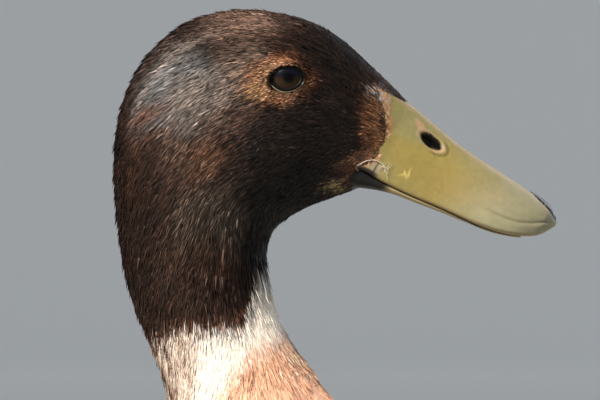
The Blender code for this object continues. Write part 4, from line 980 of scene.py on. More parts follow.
def in_locks(surface, u, v, chance):
    """The places of all tufts of the locks that begin at the given places, and whose lock each
    tuft belongs to: the tufts of a lock lie along and beside one line."""
    point, along, across, normal = surface_frame(surface, u, v)
    way = lie_of(own_mm(point))
    way = unit(way - normal * np.sum(way * normal, -1, keepdims=True))
    length, width = (np.interp(u, TUFT_PLACES, row)[:, None] * MM for row in (TUFT_LENGTHS, TUFT_WIDTHS))
    ahead = np.stack(steps_for(along, across, way), -1)[:, None]
    aside = np.stack(steps_for(along, across, np.cross(normal, way)), -1)[:, None]
    far = length * (LOCK[:, 0] + chance.uniform(-0.1, 0.1, (len(u), len(LOCK))))
    off = width * (LOCK[:, 1] + chance.uniform(-0.2, 0.2, (len(u), len(LOCK))))
    place = np.stack([u, v], -1)[:, None] + ahead * far[..., None] + aside * off[..., None]
    return place[..., 0].ravel(), place[..., 1].ravel(), np.repeat(np.arange(len(u)), len(LOCK))


def make_tufts(name, surface, u, v, lock, chance, finish, slot):
    """Tufts rooted at ring places u and angles v: each is a flat pointed blade of four points,
    its root, both sides of its middle and its tip, over a keel straight from root to tip. A share
    of the locks, the strokes, are lighter and lie on top of the others."""
    point, along, across, normal = surface_frame(surface, u, v)
    locks = lock.max() + 1
    own = own_mm(point)
    count = len(u)
    back = unit(along)
    share = smooth_step(12.2, 14.0, u)[:, None]
    way = lie_of(own) * (1 - share) + back * share
    way = unit(way - normal * np.sum(way * normal, -1, keepdims=True) + 0.12 * back)
    side = np.cross(normal, way)
    stray = 3 * chance.standard_normal(count) + 6 * chance.standard_normal(locks)[lock]
    stray = np.radians(stray + 9 * mottle(point, 3.0, 11))[:, None]
    way = way * np.cos(stray) + side * np.sin(stray)
    side = np.cross(normal, way)
    length = np.interp(u, TUFT_PLACES, TUFT_LENGTHS) * chance.uniform(0.75, 1.2, count)
    eye = lens_distance(own[:, 0], own[:, 2])
    length *= 0.4 + 0.6 * smooth_step(1.3, 3.2, eye)
    width = np.interp(u, TUFT_PLACES, TUFT_WIDTHS) * chance.uniform(0.8, 1.25, count)
    width *= 0.8 + 0.2 * smooth_step(1.3, 3.2, eye)
    depth = np.interp(u, *COAT_DEPTH)
    du, dv = (part * length * MM for part in steps_for(along, across, way))
    stroke = (chance.random(locks) < STROKE_SHARE)[lock]
    coat = np.clip(depth, 0.3, 2.0)
    rise = np.clip(chance.normal(0.04, 0.06, count), -0.1, 0.3) * coat + 0.10 * stroke * np.sqrt(coat)
    rise += 0.08 * smooth_step(1.5, 0.5, u)
    rise += 0.5 * (chance.random(count) < 0.012) * np.clip(depth, 0.3, 1.6)
    root = point - normal * (0.8 * depth * MM)[:, None]
    ground = plumage_colour(point, u + 0.6 * du, v + 0.6 * dv)
    pale = smooth_step(0.2, 0.5, ground[:, 1])
    rise *= 1 - 0.5 * pale
    lift = 0.5 * rise - (0.2 - 0.12 * pale) * coat
    middle = surface(u + 0.45 * du, v + 0.45 * dv) + normal * (lift * MM)[:, None]
    tip = surface(u + du, v + dv) + normal * (rise * MM)[:, None]
    roll = np.radians((16 - 13 * pale) * chance.standard_normal(count))[:, None]
    half = (side * np.cos(roll) + normal * np.sin(roll)) * (width / 2 * MM)[:, None]
    points = np.stack([root, middle + half, middle - half, tip], 1)
    faces = (np.arange(count)[:, None, None] * 4 + TUFT_FACES).reshape(-1, 3)
    piece = put_mesh(name, points.reshape(-1, 3), faces, smooth=False)
    shade = 0.18 * chance.standard_normal(count) + 0.38 * chance.standard_normal(locks)[lock]
    shade = np.exp(shade + 0.2 * mottle(point, 1.2, 12)) * np.where(stroke, STROKE_TONE, PLAIN_TONE)
    loose = 0.8 + 0.8 * smooth_step(9.8, 10.6, u) * smooth_step(12.2, 11.6, u)
    wander = loose[:, None] * chance.normal(0, MM, (count, 3))
    first, half_way, last = (plumage_colour(place + wander, u + part * du, v + part * dv)
                             for place, part in ((point, 0.0), (middle, 0.45), (tip, 1.0)))
    pale = smooth_step(0.2, 0.5, half_way[:, 1])
    colours = np.stack([first, half_way, half_way, last], 1) * (shade ** (1 - 0.85 * pale))[:, None, None]
    # The root painted darker as painted shade, the tip lighter as painted light.
    ends = TUFT_PAINTED_SHADING + pale[:, None] * PALE_PAINTED_SHADING
    add_colours(piece, "plumage", np.clip(colours * ends[..., None], 0, 0.95).reshape(-1, 3))
    add_bake_map(piece, unwrapped(u, v), TUFT_SHAPE, TUFT_FACES)
    set_in_place(piece, finish, slot)


def feather_finish(name):
    """Small contour feathers grown of keratin: loose barbs with a soft gloss along them."""
    return tinted_finish(name, "plumage", Roughness=0.45, Specular_IOR_Level=0.18)[0]


head_finish = feather_finish("grown hair-fine head feathers")
for number, (zone, (stretch, count)) in enumerate(HEAD_COATS.items()):
    surface = face_point if zone == "face" else plumage_point
    slot = "neck_plumage" if zone in ("neck", "ring") else "head_plumage"
    for word, side in SIDES:
        chance = np.random.default_rng(100 + 2 * number + (side > 0))
        u, v = scatter(count // len(LOCK), stretch, side, chance)
        u, v, lock = in_locks(surface, u, v, chance)
        own = own_mm(surface(u, v))
        kept = feathered(own, 0.65 * chance.standard_normal(len(u)))
        ahead = own + 1.5 * lie_of(own)
        clear = 0.95 + 0.35 * smooth_step(1, -2, own[:, 2] - EYE_Z)
        kept &= (lid_gap(own) > clear) & (lid_gap(ahead) > clear) & (u > -0.4)
        make_tufts(f"{zone}_{word}_feathers", surface, u[kept], v[kept], lock[kept], chance,
                   head_finish, slot)

# Eyes: a wet dark ball with a brown iris and a round pupil, set in the head behind the lids.
# The cornea is clear and smooth and gives one small sharp glint.
PUPIL_RADIUS, IRIS_RADIUS = 1.45, 4.7
IRIS_AHEAD, IRIS_UP = 0.7, 0.25


def make_eye(word, side):
    """A ball of rings round the line that the eye looks along, coloured by the distance from it, with a
    painted reflection over its upper half.
    """
    t, a = np.meshgrid(np.linspace(0.02, math.pi - 0.02, 60), full_turn(64), indexing="ij")
    rings = EYE_RADIUS * MM * np.stack([np.sin(t) * np.cos(a), side * np.cos(t),
                                        np.sin(t) * np.sin(a) * side], -1)
    points, faces = closed_tube(rings)
    middle = np.array([EYE_X * MM + SHIFT, side * EYE_MIDDLE_Y * MM, EYE_Z * MM])
    eye = put_mesh(f"eyeball_{word}", points + middle, faces)
    ahead, up = points[:, 0] / MM - IRIS_AHEAD, points[:, 2] / MM - IRIS_UP
    distance = np.hypot(ahead, up)
    turn = np.arctan2(up, ahead)
    spokes = 0.5 + 0.5 * np.sin(turn * 37) * np.sin(turn * 13)
    add_colours(eye, "iris", washed(
        flat_colour("#191309", points),
        ("#32261b", (0.35 + 0.5 * spokes) * smooth_step(1.4, 2.6, distance)),
        # Blue-black over the upper half: a painted reflection of the sky, darkened as painted shade under the
        # lid.
        ("#070918", 0.9 * smooth_step(-0.8, 1.0, up)),
        ("#060504", smooth_step(PUPIL_RADIUS + 0.2, PUPIL_RADIUS - 0.1, distance)),
        ("#080706", smooth_step(IRIS_RADIUS - 0.9, IRIS_RADIUS, distance))))
    finish, _ = tinted_finish(f"wet cornea over brown iris {word}", "iris", Roughness=0.3,
                              Specular_IOR_Level=0.05, Coat_Weight=0.09, Coat_Roughness=0.02,
                              Coat_IOR=1.38)
    set_in_place(eye, finish, "eye", f"eye_{word}")


for word, side in SIDES:
    make_eye(word, side)

# Lids: a ring of bare skin round each eye. Its margin is a wet black roll that touches the ball,
# and outside it lies a pale finely beaded edge, most plain under the eye.
LID_OUT = (0.0, 0.04, 0.12, 0.24, 0.38, 0.52, 0.64, 0.76, 0.88, 1.0, 1.15, 1.35, 1.7, 2.3, 3.2)
LID_HEIGHT = (-0.5, 0.05, 0.26, 0.40, 0.44, 0.40, 0.34, 0.40, 0.48, 0.44, 0.36, 0.34, 0.3, 0.2, 0.0)


def make_lids(word, side):
    """Rings that follow the opening, an oval drawn to a point behind: outwards from its edge the
    roll rises off the ball as an arc, and the skirt then runs on under the feathers."""
    o, a = np.meshgrid(np.array(LID_OUT), full_turn(180), indexing="ij")
    beads = np.sin(a * 32) ** 2
    lower = smooth_step(0.0, -0.55, np.sin(a)) * 0.9 + 0.1
    h = np.array(LID_HEIGHT)[:, None] + 0.14 * beads * np.exp(-((o - 0.86) / 0.12) ** 2) * lower
    point = 1.0 + 0.5 * smooth_step(0.3, -0.9, np.cos(a))
    corner = np.abs(np.sin(a)) ** point * np.sign(np.sin(a))
    along = (LENS_HALF_LENGTH + o) * np.cos(a)
    up = (LENS_HALF_HEIGHT + o) * corner
    x = along * math.cos(LENS_SLANT) - up * math.sin(LENS_SLANT)
    z = along * math.sin(LENS_SLANT) + up * math.cos(LENS_SLANT)
    ball = np.sqrt(np.maximum(EYE_RADIUS ** 2 - x ** 2 - z ** 2, 4.0))
    over = 1 + h / EYE_RADIUS
    rings = np.stack([(EYE_X + x * over) * MM + SHIFT, side * (EYE_MIDDLE_Y + ball * over) * MM,
                      (EYE_Z + z * over) * MM], -1)
    middle = np.array([EYE_X * MM + SHIFT, side * EYE_MIDDLE_Y * MM, EYE_Z * MM])
    away = np.linalg.norm(rings - middle, axis=-1, keepdims=True) / MM
    inner = middle + (rings - middle) * (EYE_RADIUS - 1.6) / away
    points, faces = closed_loops(np.concatenate([rings, inner[::-1]]))
    lids = put_mesh(f"lids_{word}", points, right_way(points, faces))
    outward, low, bead, rear = (np.concatenate([held, held[::-1]]).ravel() for held in (
        o, lower, beads, smooth_step(-0.75, -0.95, np.cos(a))))
    pale = np.exp(-((outward - 0.88) / 0.13) ** 2) * low
    own = own_mm(points) - np.array((EYE_X, 0, EYE_Z))
    add_colours(lids, "lid", washed(
        flat_colour("#030303", points),
        ("#b4b199", 0.9 * pale * (0.45 + 0.55 * bead)),
        ("#6b4f3a", 0.8 * smooth_step(1.15, 1.5, outward + 0.6 * rear)),
        # A pale spot at the front of the lower lid: a painted glint.
        ("#e6e0d4", soft_patch(own[:, 0], own[:, 2], 5.2, -1.3, 0.75, 0.4, 40))))
    finish, _ = tinted_finish(f"wet bare lid skin {word}", "lid", Roughness=0.45, Specular_IOR_Level=0.12)
    set_in_place(lids, finish, "head_plumage")


for word, side in SIDES:
    make_lids(word, side)

# Down at the gape: a few loose white filaments that curve from the mouth's corner over the
# bill's root. Each is a thread of down, grown in one piece and caught on the skin.
GAPE_ARCH = np.array(((119.8, 373.2), (122.4, 374.5), (124.9, 374.9), (127.0, 374.1), (128.3, 372.6),
                      (128.9, 370.8), (129.0, 368.7)))
DOWN_RADIUS = 0.055


def make_gape_down(word, side):
    """Tubes of five sides along curves: the first three follow the arch and the others branch off
    it. The side view's places are brought to the nearest points of the bill's base."""
    chance = np.random.default_rng(250 + side)
    u, v = np.meshgrid(np.linspace(-0.5, 1.2, 120), side * np.linspace(1.2, 2.6, 160), indexing="ij")
    ground = own_mm(face_point(u, v)).reshape(-1, 3)
    parts = []
    for number in range(13):
        if number < 3:
            knots = GAPE_ARCH + chance.normal(0, 0.22, (7, 2)) * (number > 0)
        else:
            start = GAPE_ARCH[chance.integers(0, 6)]
            swing = chance.uniform(0, 2 * math.pi) + 0.35 * np.arange(7)
            knots = start + np.cumsum(0.42 * np.stack([np.cos(swing), np.sin(swing)], -1), 0)
        line = spline(np.arange(7), knots, np.linspace(0, 6, 30))
        near = np.argmin(np.sum((ground[:, None, [0, 2]] - line) ** 2, -1), 0)
        middle = np.stack([line[:, 0], ground[near, 1] + side * 0.28, line[:, 1]], -1) * MM
        run = np.gradient(middle, axis=0)
        first = unit(np.cross(run, (0, 1, 0)))
        turn = full_turn(5)[:, None]
        thick = DOWN_RADIUS * MM * (1 - 0.8 * np.linspace(0, 1, 30) ** 2)[:, None, None]
        ring = np.cos(turn) * first[:, None] + np.sin(turn) * np.array((0, 1, 0))
        points, faces = closed_tube(middle[:, None] + thick * ring + np.array([SHIFT, 0, 0]))
        parts.append((points, right_way(points, faces)))
    down = put_mesh(f"gape_down_{word}", *joined(parts))
    finish, shader = new_finish(f"loose white down {word}", Roughness=0.6)
    place = add_node(finish, "TexCoord")
    cloud = add_node(finish, "TexNoise", inputs={
        "Vector": place.outputs["Object"], "Scale": 1 / (1.5 * MM)})
    tone = add_node(finish, "Mix", {"data_type": "RGBA"}, {
        "Factor": cloud.outputs["Fac"], "A": (*linear("#a89d8e"), 1), "B": (*linear("#d8d0c2"), 1)})
    link(finish, tone.outputs["Result"], shader.inputs["Base Color"])
    set_in_place(down, finish, "head_plumage")


for word, side in SIDES:
    make_gape_down(word, side)

# Trunk feathers: broad round contour feathers in staggered rows like shingles, smallest on the
# breast. Each is a fan of loose soft barbs from one root, paler at the tips.
TRUNK_PLACES = (13.6, 15.0, 18.0, 21.0, 23.2)
TRUNK_LENGTHS = (10.5, 13.5, 19.0, 20.0, 17.0)
ROW_SHARE, COLUMN_SHARE, WIDTH_SHARE = 0.19, 0.45, 0.62
TRUNK_COATS = {"breast": (13.0, 16.2), "middle": (16.2, 19.4), "rear": (19.4, 23.0)}
BARBS = 9
# Along a barb from root to tip: how far it has gone from the root's colour to the edge's, and how light it is
# painted, darkest at the root as painted shade under the overlapping feathers.
BARB_SHARES, BARB_PAINTED_SHADING = np.array((0.0, 0.25, 0.25, 1.0)), np.array((0.5, 0.92, 0.92, 1.03))


def lay_fans(name, surface, u, v, length, width, stray, sink, rise, ground, edge, chance, finish, slot):
    """Contour feathers laid on a surface from their roots along its first direction. Each is a fan
    of flat pointed barbs that part from its middle line and end on a round outline."""
    point, along, across, normal = surface_frame(surface, u, v)
    way = unit(along)
    side = np.cross(normal, way)
    way = way * np.cos(stray)[:, None] + side * np.sin(stray)[:, None]
    side = np.cross(normal, way)
    ahead, aside = ((np.stack(steps_for(along, across, line), -1) * (size * MM)[:, None])[:, None, None]
                    for line, size in ((way, length), (side, width / 2)))
    count = len(u)
    order = np.argsort(chance.random((count, BARBS)), axis=1)
    c = np.linspace(-1, 1, BARBS) + chance.uniform(-0.09, 0.09, (count, BARBS))
    reach = 1 - 0.34 * c ** 2 + 0.05 * chance.standard_normal((count, BARBS))
    wide = 1.75 / BARBS
    t = np.stack([0.15 * reach, 0.6 * reach, 0.6 * reach, reach], -1)
    c = np.stack([0.12 * c, 0.74 * c + wide, 0.74 * c - wide, 0.98 * c], -1)
    lift = 0.03 * (order - BARBS / 2) + chance.normal(0, 0.03, (count, BARBS))
    low = -sink[:, None] * np.ones_like(lift)
    middle = (-0.3 * sink + 0.5 * rise)[:, None] + lift
    height = np.stack([low, middle, middle, rise[:, None] + lift - 0.2 * c[..., 3] ** 2], -1)
    place = np.stack([u, v], -1)[:, None, None] + ahead * t[..., None] + aside * c[..., None]
    point, _, _, normal = surface_frame(surface, place[..., 0], place[..., 1])
    points = point + normal * (height * MM)[..., None]
    faces = (np.arange(count * BARBS)[:, None, None] * 4 + TUFT_FACES).reshape(-1, 3)
    piece = put_mesh(name, points.reshape(-1, 3), faces, smooth=False)
    shade = np.exp(0.08 * chance.standard_normal((count, BARBS)))[..., None, None]
    share = BARB_SHARES[:, None]
    colour = ground[:, None, None] * (1 - share) + edge[:, None, None] * share
    colour = colour * shade * BARB_PAINTED_SHADING[:, None]
    add_colours(piece, "plumage", np.clip(colour, 0, 0.95).reshape(-1, 3))
    roots = place[..., 0, :].reshape(-1, 2)
    add_bake_map(piece, unwrapped(roots[:, 0], roots[:, 1]), TUFT_SHAPE, TUFT_FACES)
    set_in_place(piece, finish, slot)


def shingled(stretch, side, chance):
    """Ring places and angles of staggered rows: the next row lies a share of a feather's length
    further back, and along a row the feathers stand a share of their width apart."""
    places, angles = [], []
    u, odd = stretch[0], 0
    while u < stretch[1]:
        length = float(np.interp(u, TRUNK_PLACES, TRUNK_LENGTHS))
        turn = np.linspace(0, math.pi, 90)
        ring = plumage_point(np.full(90, u), turn)
        ahead = plumage_point(np.full(90, u + 0.05), turn)
        arc = np.concatenate([(0,), np.cumsum(np.linalg.norm(np.diff(ring, axis=0), axis=1))]) / MM
        count = max(3, int(arc[-1] / (COLUMN_SHARE * WIDTH_SHARE * length)))
        at = (np.arange(count) + (0.25 if odd else 0.75) + chance.uniform(-0.22, 0.22, count)) / count
        angles.append(np.interp(at * arc[-1], arc, turn) * side)
        places.append(u + chance.uniform(-0.3, 0.3, count) * 0.04)
        u += 0.05 * ROW_SHARE * length / (np.linalg.norm(ahead - ring, axis=1).mean() / MM)
        odd = 1 - odd
    return np.concatenate(places), np.concatenate(angles)


soft_finish = feather_finish("grown soft contour feathers")
for number, (zone, stretch) in enumerate(TRUNK_COATS.items()):
    for word, side in SIDES:
        chance = np.random.default_rng(300 + 2 * number + (side > 0))
        u, v = shingled(stretch, side, chance)
        count = len(u)
        length = np.interp(u, TRUNK_PLACES, TRUNK_LENGTHS) * chance.uniform(0.9, 1.12, count)
        width = WIDTH_SHARE * length * chance.uniform(0.9, 1.1, count)
        point = plumage_point(u, v)
        ground = body_colour(point, u, v) * np.exp(0.09 * chance.standard_normal(count))[:, None]
        stray = 0.09 * chance.standard_normal(count)
        sink, rise = np.full(count, 2.0), chance.uniform(-0.1, 0.25, count)
        lay_fans(f"{zone}_{word}_feathers", plumage_point, u, v, length, width, stray, sink, rise,
                 ground, lacing_colour(ground, u, v), chance, soft_finish, "body_plumage")


def thigh_surface(u, v):
    """The feathered thigh: rings from the trunk down to the heel, u over them and v round them."""
    x, y, z, deep, wide = np.moveaxis(spline(np.arange(5), np.array(THIGH_RINGS)[::-1], u), -1, 0)
    side = np.where(v < 0, -1, 1)
    turn = 2 * math.pi - np.abs(v)
    point = np.stack([x + deep * np.cos(turn), side * (y + wide * np.sin(turn)), z], -1) * MM
    return point + np.array([SHIFT, 0, 0])


for word, side in SIDES:
    chance = np.random.default_rng(400 + side)
    u, turn = np.meshgrid(np.linspace(0.1, 3.6, 20), np.arange(22) / 22, indexing="ij")
    u = (u + chance.uniform(-0.06, 0.06, u.shape)).ravel()
    turn = turn + 0.5 / 22 * (np.arange(20)[:, None] % 2) + chance.uniform(-0.01, 0.01, turn.shape)
    v = side * 2 * math.pi * (1 + turn.ravel() * 0.999)
    count = len(u)
    length = np.interp(u, (0, 4), (15, 8)) * chance.uniform(0.9, 1.1, count)
    ground = linear("#cfc3af") * np.exp(0.07 * chance.standard_normal(count))[:, None]
    lay_fans(f"thigh_{word}_feathers", thigh_surface, u, v, length, 0.6 * length,
             0.1 * chance.standard_normal(count), np.full(count, 1.0), chance.uniform(0, 0.5, count),
             ground, washed(ground, ("#ddd3c1", 0.6)), chance, soft_finish, "body_plumage")

# Wings: each is folded along the flank. Its core of muscle and feather roots is covered by
# rows of overlapping vanes, from the scapulars and coverts to tertials, secondaries with the
# shining speculum and long primaries, each stiffened by a shaft.
TRUNK_SLOPE = math.radians(26.6)
TRUNK_START = 232.0
# Distance behind the breast, angles of the wing's upper and lower edge, and its thickness.
WING_FORM = np.array((
    (50, 68, 80, 2.0), (54, 61, 88, 4.5), (62, 52, 96, 7.0), (78, 42, 101, 8.5), (105, 31, 97, 9.0),
    (140, 24, 87, 8.5), (175, 19, 76, 7.0), (205, 16, 65, 5.5), (230, 15, 55, 4.2), (248, 17, 47, 3.0),
    (258, 22, 40, 1.8),
))
WING_SUNK, WING_ROUNDING = 3.0, 0.42
# Rows of vanes, from the uppermost to the lowest vane: how many, then at root and tip of the
# first and of the last the distance behind the breast, the angle in degrees and the height
# over the trunk, and the first and last width.
WING_ROWS = {
    "primaries": (9, (200, 44, 4.4), (298, 27, 6.6), (108, 93, 1.2), (352, 15, 1.5), 15, 13),
    "secondaries": (9, (150, 46, 4.4), (250, 36, 7.6), (110, 89, 4.4), (206, 65, 5.6), 15, 15),
    "tertials": (5, (136, 22, 5.5), (282, 11, 8.2), (146, 42, 5.5), (258, 34, 8.8), 21, 17),
    "greater_coverts": (9, (120, 42, 6.5), (196, 42, 9.6), (88, 89, 5.5), (158, 80, 7.8), 15, 13),
    "middle_coverts": (9, (98, 44, 6.5), (156, 47, 10.2), (72, 86, 5.5), (122, 88, 8.8), 15, 13),
    "scapulars": (8, (70, 28, -1.6), (172, 15, 9.4), (80, 50, 1.5), (180, 37, 10.8), 22, 18),
}
POINTED_ROWS = ("primaries", "tertials")
VANE_RAISE, VANE_THICKNESS, BARB_SLANT = 1.7, 0.3, 1.1
SMALL_COVERTS_FROM, SMALL_COVERTS_TO, SMALL_ROW_STEP, SMALL_SPACING = 50, 128, 3.2, 2.6
STATIONS = np.sin(np.linspace(0, math.pi / 2, 19))
COLUMNS = np.array((-1, -0.93, -0.8, -0.5, -0.2, -0.06, 0, 0.06, 0.2, 0.5, 0.8, 0.93, 1))


def trunk_place(a, v):
    """The ring place at which the line of angle v comes a millimetres behind the breast, found
    by Newton's steps on the distance along the trunk's slope."""
    def behind(u):
        own = own_mm(body_point(u, v))
        return TRUNK_START - own[..., 0] * math.cos(TRUNK_SLOPE) - own[..., 2] * math.sin(TRUNK_SLOPE)

    u = np.full(np.broadcast(a, v).shape, 18.0)
    for _ in range(10):
        value = behind(u)
        u = np.clip(u + (a - value) / ((behind(u + 0.01) - value) / 0.01), 13.5, 23.9)
    return u


def over_trunk(a, v, height):
    """A point at a height in millimetres over the trunk, and the outward normal there."""
    u = trunk_place(a, v)
    point, _, _, normal = surface_frame(body_point, u, np.broadcast_to(v, u.shape))
    return point + normal * (np.broadcast_to(height, u.shape) * MM)[..., None], normal


def wing_surface(a, v):
    """The wing's core: its thickness over the trunk goes as a low power of a sine between its
    upper and lower edge."""
    top, bottom, thick = (np.interp(a, WING_FORM[:, 0], WING_FORM[:, c]) for c in (1, 2, 3))
    across = np.clip((np.abs(v) - np.radians(top)) / np.radians(bottom - top), 0.0, 1.0)
    height = -WING_SUNK + (thick + WING_SUNK) * np.sin(math.pi * across) ** WING_ROUNDING
    return over_trunk(a, v, height)[0]


def slab_faces(rows, columns):
    """Triangles of a closed slab: an upper and a lower grid of points and the walls between."""
    i, j = np.meshgrid(np.arange(rows - 1), np.arange(columns - 1), indexing="ij")
    a = (i * columns + j).ravel()
    b, c, d = a + columns, a + columns + 1, a + 1
    upper = np.concatenate([np.stack([a, b, c], -1), np.stack([a, c, d], -1)])
    low = rows * columns
    r, k = np.arange(rows), np.arange(columns)
    loop = np.concatenate([r[:-1] * columns, (rows - 1) * columns + k[:-1],
                           r[:0:-1] * columns + columns - 1, k[:0:-1]])
    after = np.roll(loop, -1)
    walls = np.concatenate([np.stack([after, loop, loop + low], -1),
                            np.stack([after, loop + low, after + low], -1)])
    return np.concatenate([upper, upper[:, ::-1] + low, walls])


def vane_outline(t, pointed):
    """Half widths along a vane: narrow at the root, then full, and round or pointed at the tip."""
    if pointed:
        widen, narrow = 0.4, 1 - np.clip((t - 0.45) / 0.55, 0, 1) ** 2.4
    else:
        widen, narrow = 0.45, np.sqrt(1 - np.clip((t - 0.62) / 0.38, 0, 1) ** 2)
    return (0.5 + 0.5 * smooth_step(0, widen, t)) * narrow * 0.97 + 0.03


def make_long_vanes(name, middle, normal, width, pointed, raised, paint, finish, slot, chance):
    """Vanes along lines of points: across each lies a shallow arch with a shaft along its middle,
    one edge stands higher, and the edges waver where barbs have parted."""
    count, stations = middle.shape[:2]
    t = STATIONS if stations == len(STATIONS) else np.linspace(0, 1, stations)
    run = np.gradient(middle, axis=1)
    across = unit(np.cross(normal, run))
    outline = vane_outline(t, pointed)
    c = COLUMNS * (1 + 0.04 * chance.standard_normal((count, stations, 1)) * (np.abs(COLUMNS) > 0.9))
    half = (width[:, None] / 2 * outline)[..., None]
    shaft = 0.32 * np.exp(-(COLUMNS / 0.09) ** 2) * (1 - 0.7 * t)[:, None]
    height = (raised / 2 * outline[:, None] * COLUMNS + 0.06 * half * (1 - COLUMNS ** 2) + shaft)
    top = middle[:, :, None] + across[:, :, None] * (half * c * MM)[..., None] + normal[:, :, None] * (
        height * MM)[..., None]
    bottom = top - normal[:, :, None] * (VANE_THICKNESS * MM)
    points = np.stack([top, bottom], 1)
    each = 2 * stations * len(COLUMNS)
    pattern = slab_faces(stations, len(COLUMNS))
    faces = (np.arange(count)[:, None, None] * each + pattern).reshape(-1, 3)
    piece = put_mesh(name, points.reshape(-1, 3), faces)
    tt, cc = np.meshgrid(t, COLUMNS, indexing="ij")
    colour = np.stack([paint(k / max(count - 1, 1), tt, cc) for k in range(count)])
    colour = colour * np.exp(0.05 * chance.standard_normal(count))[:, None, None, None]
    # The vane's underside is painted a fifth darker than its top, as painted shade.
    add_colours(piece, "plumage", np.stack([colour, colour * 0.8], 1).reshape(-1, 3))
    length = np.linalg.norm(np.diff(middle, axis=1), axis=-1).sum(1) / MM
    barb = length[:, None, None] * tt - BARB_SLANT * half * np.abs(COLUMNS)
    held = piece.data.attributes.new("barb", "FLOAT", "POINT")
    held.data.foreach_set("value", np.ascontiguousarray(np.stack([barb, barb], 1), np.float32).ravel())
    flat = np.stack([np.tile(cc.ravel() / 2, 2), np.tile(tt.ravel() - 0.5, 2)], -1)
    wide, high = 0.9 / max(count, 4) / PATCH_SIZE, 0.9 / PATCH_SIZE
    add_bake_map(piece, np.stack([(np.arange(count) + 0.5) / count, np.full(count, 0.5)], -1),
                 flat * np.array([wide, high]), pattern)
    set_in_place(piece, finish, slot)


def web_finish(name, roughness, barb_spacing):
    """Closed webs of stiff flight feathers: smooth keratin with a low silky gloss and fine
    slanting barb lines."""
    finish, shader = new_finish(name, Roughness=roughness, Specular_IOR_Level=0.45)
    tint = add_node(finish, "Attribute", {"attribute_name": "plumage"})
    barb = add_node(finish, "Attribute", {"attribute_name": "barb"})
    turn = add_node(finish, "Math", {"operation": "MULTIPLY"}, {
        0: barb.outputs["Fac"], 1: 2 * math.pi / barb_spacing})
    line = add_node(finish, "Math", {"operation": "SINE"}, {0: turn.outputs["Value"]})
    light = add_node(finish, "MapRange", inputs={
        "Value": line.outputs["Value"], "From Min": -1.0, "To Min": 0.86, "To Max": 1.0})
    final = add_node(finish, "Mix", {"data_type": "RGBA", "blend_type": "MULTIPLY"}, {
        "Factor": 1.0, "A": tint.outputs["Color"], "B": light.outputs["Result"]})
    relief = add_node(finish, "Bump", inputs={
        "Height": line.outputs["Value"], "Strength": 0.25, "Distance": 0.08 * MM})
    link(finish, final.outputs["Result"], shader.inputs["Base Color"])
    link(finish, relief.outputs["Normal"], shader.inputs["Normal"])
    return finish


def edged(ground, edge, t, c, inset=0.86):
    """A feather of one ground colour with a paler edge and a dark shaft."""
    border = np.maximum(smooth_step(inset, inset + 0.1, np.abs(c)), smooth_step(0.93, 0.985, t))
    return washed(np.broadcast_to(linear(ground), t.shape + (3,)), (edge, 0.85 * border),
                  ("#3a2e26", 0.55 * (np.abs(c) < 0.07) * (t < 0.9)))


def paint_primary(share, t, c):
    """Pale grey-brown with thin whitish edges."""
    return edged("#6a5d53", "#b5a99a", t, c, 0.9)


def paint_secondary(share, t, c):
    """The speculum: grey-brown roots, a violet-green middle, a black bar and a white tip."""
    middle = smooth_step(0.3, 0.42, t)
    return washed(
        edged("#5f5349", "#7d7064", t, c),
        ("#2c3566", 0.9 * middle),
        ("#2b6a5a", 0.55 * middle * smooth_step(-0.2, 0.6, c + share - 0.4)),
        ("#131213", smooth_step(0.80, 0.84, t)),
        ("#b8b1a6", smooth_step(0.90, 0.93, t)))


def paint_tertial(share, t, c):
    """Grey-brown, darker along the shaft, with a cream edge."""
    return washed(edged("#5d5046", "#c6b396", t, c), ("#3f332b", 0.5 * np.exp(-(c / 0.35) ** 2)))


def paint_greater_covert(share, t, c):
    """Grey with a white band and a black tip, which front the speculum."""
    return washed(edged("#6a5e54", "#94887a", t, c), ("#b8b1a6", smooth_step(0.78, 0.81, t)),
                  ("#171515", smooth_step(0.92, 0.94, t)))


def paint_middle_covert(share, t, c):
    """Grey-brown with a cream edge."""
    return edged("#5a4d43", "#c2af93", t, c, 0.8)


def paint_scapular(share, t, c):
    """Dark grey-brown with a warm middle and a wide cream edge."""
    return washed(edged("#504238", "#c0aa8b", t, c, 0.8),
                  ("#4a392e", 0.5 * np.exp(-(c / 0.4) ** 2) * smooth_step(0.2, 0.6, t)))


WING_PAINTS = {"primaries": paint_primary, "secondaries": paint_secondary, "tertials": paint_tertial,
               "greater_coverts": paint_greater_covert, "middle_coverts": paint_middle_covert,
               "scapulars": paint_scapular}


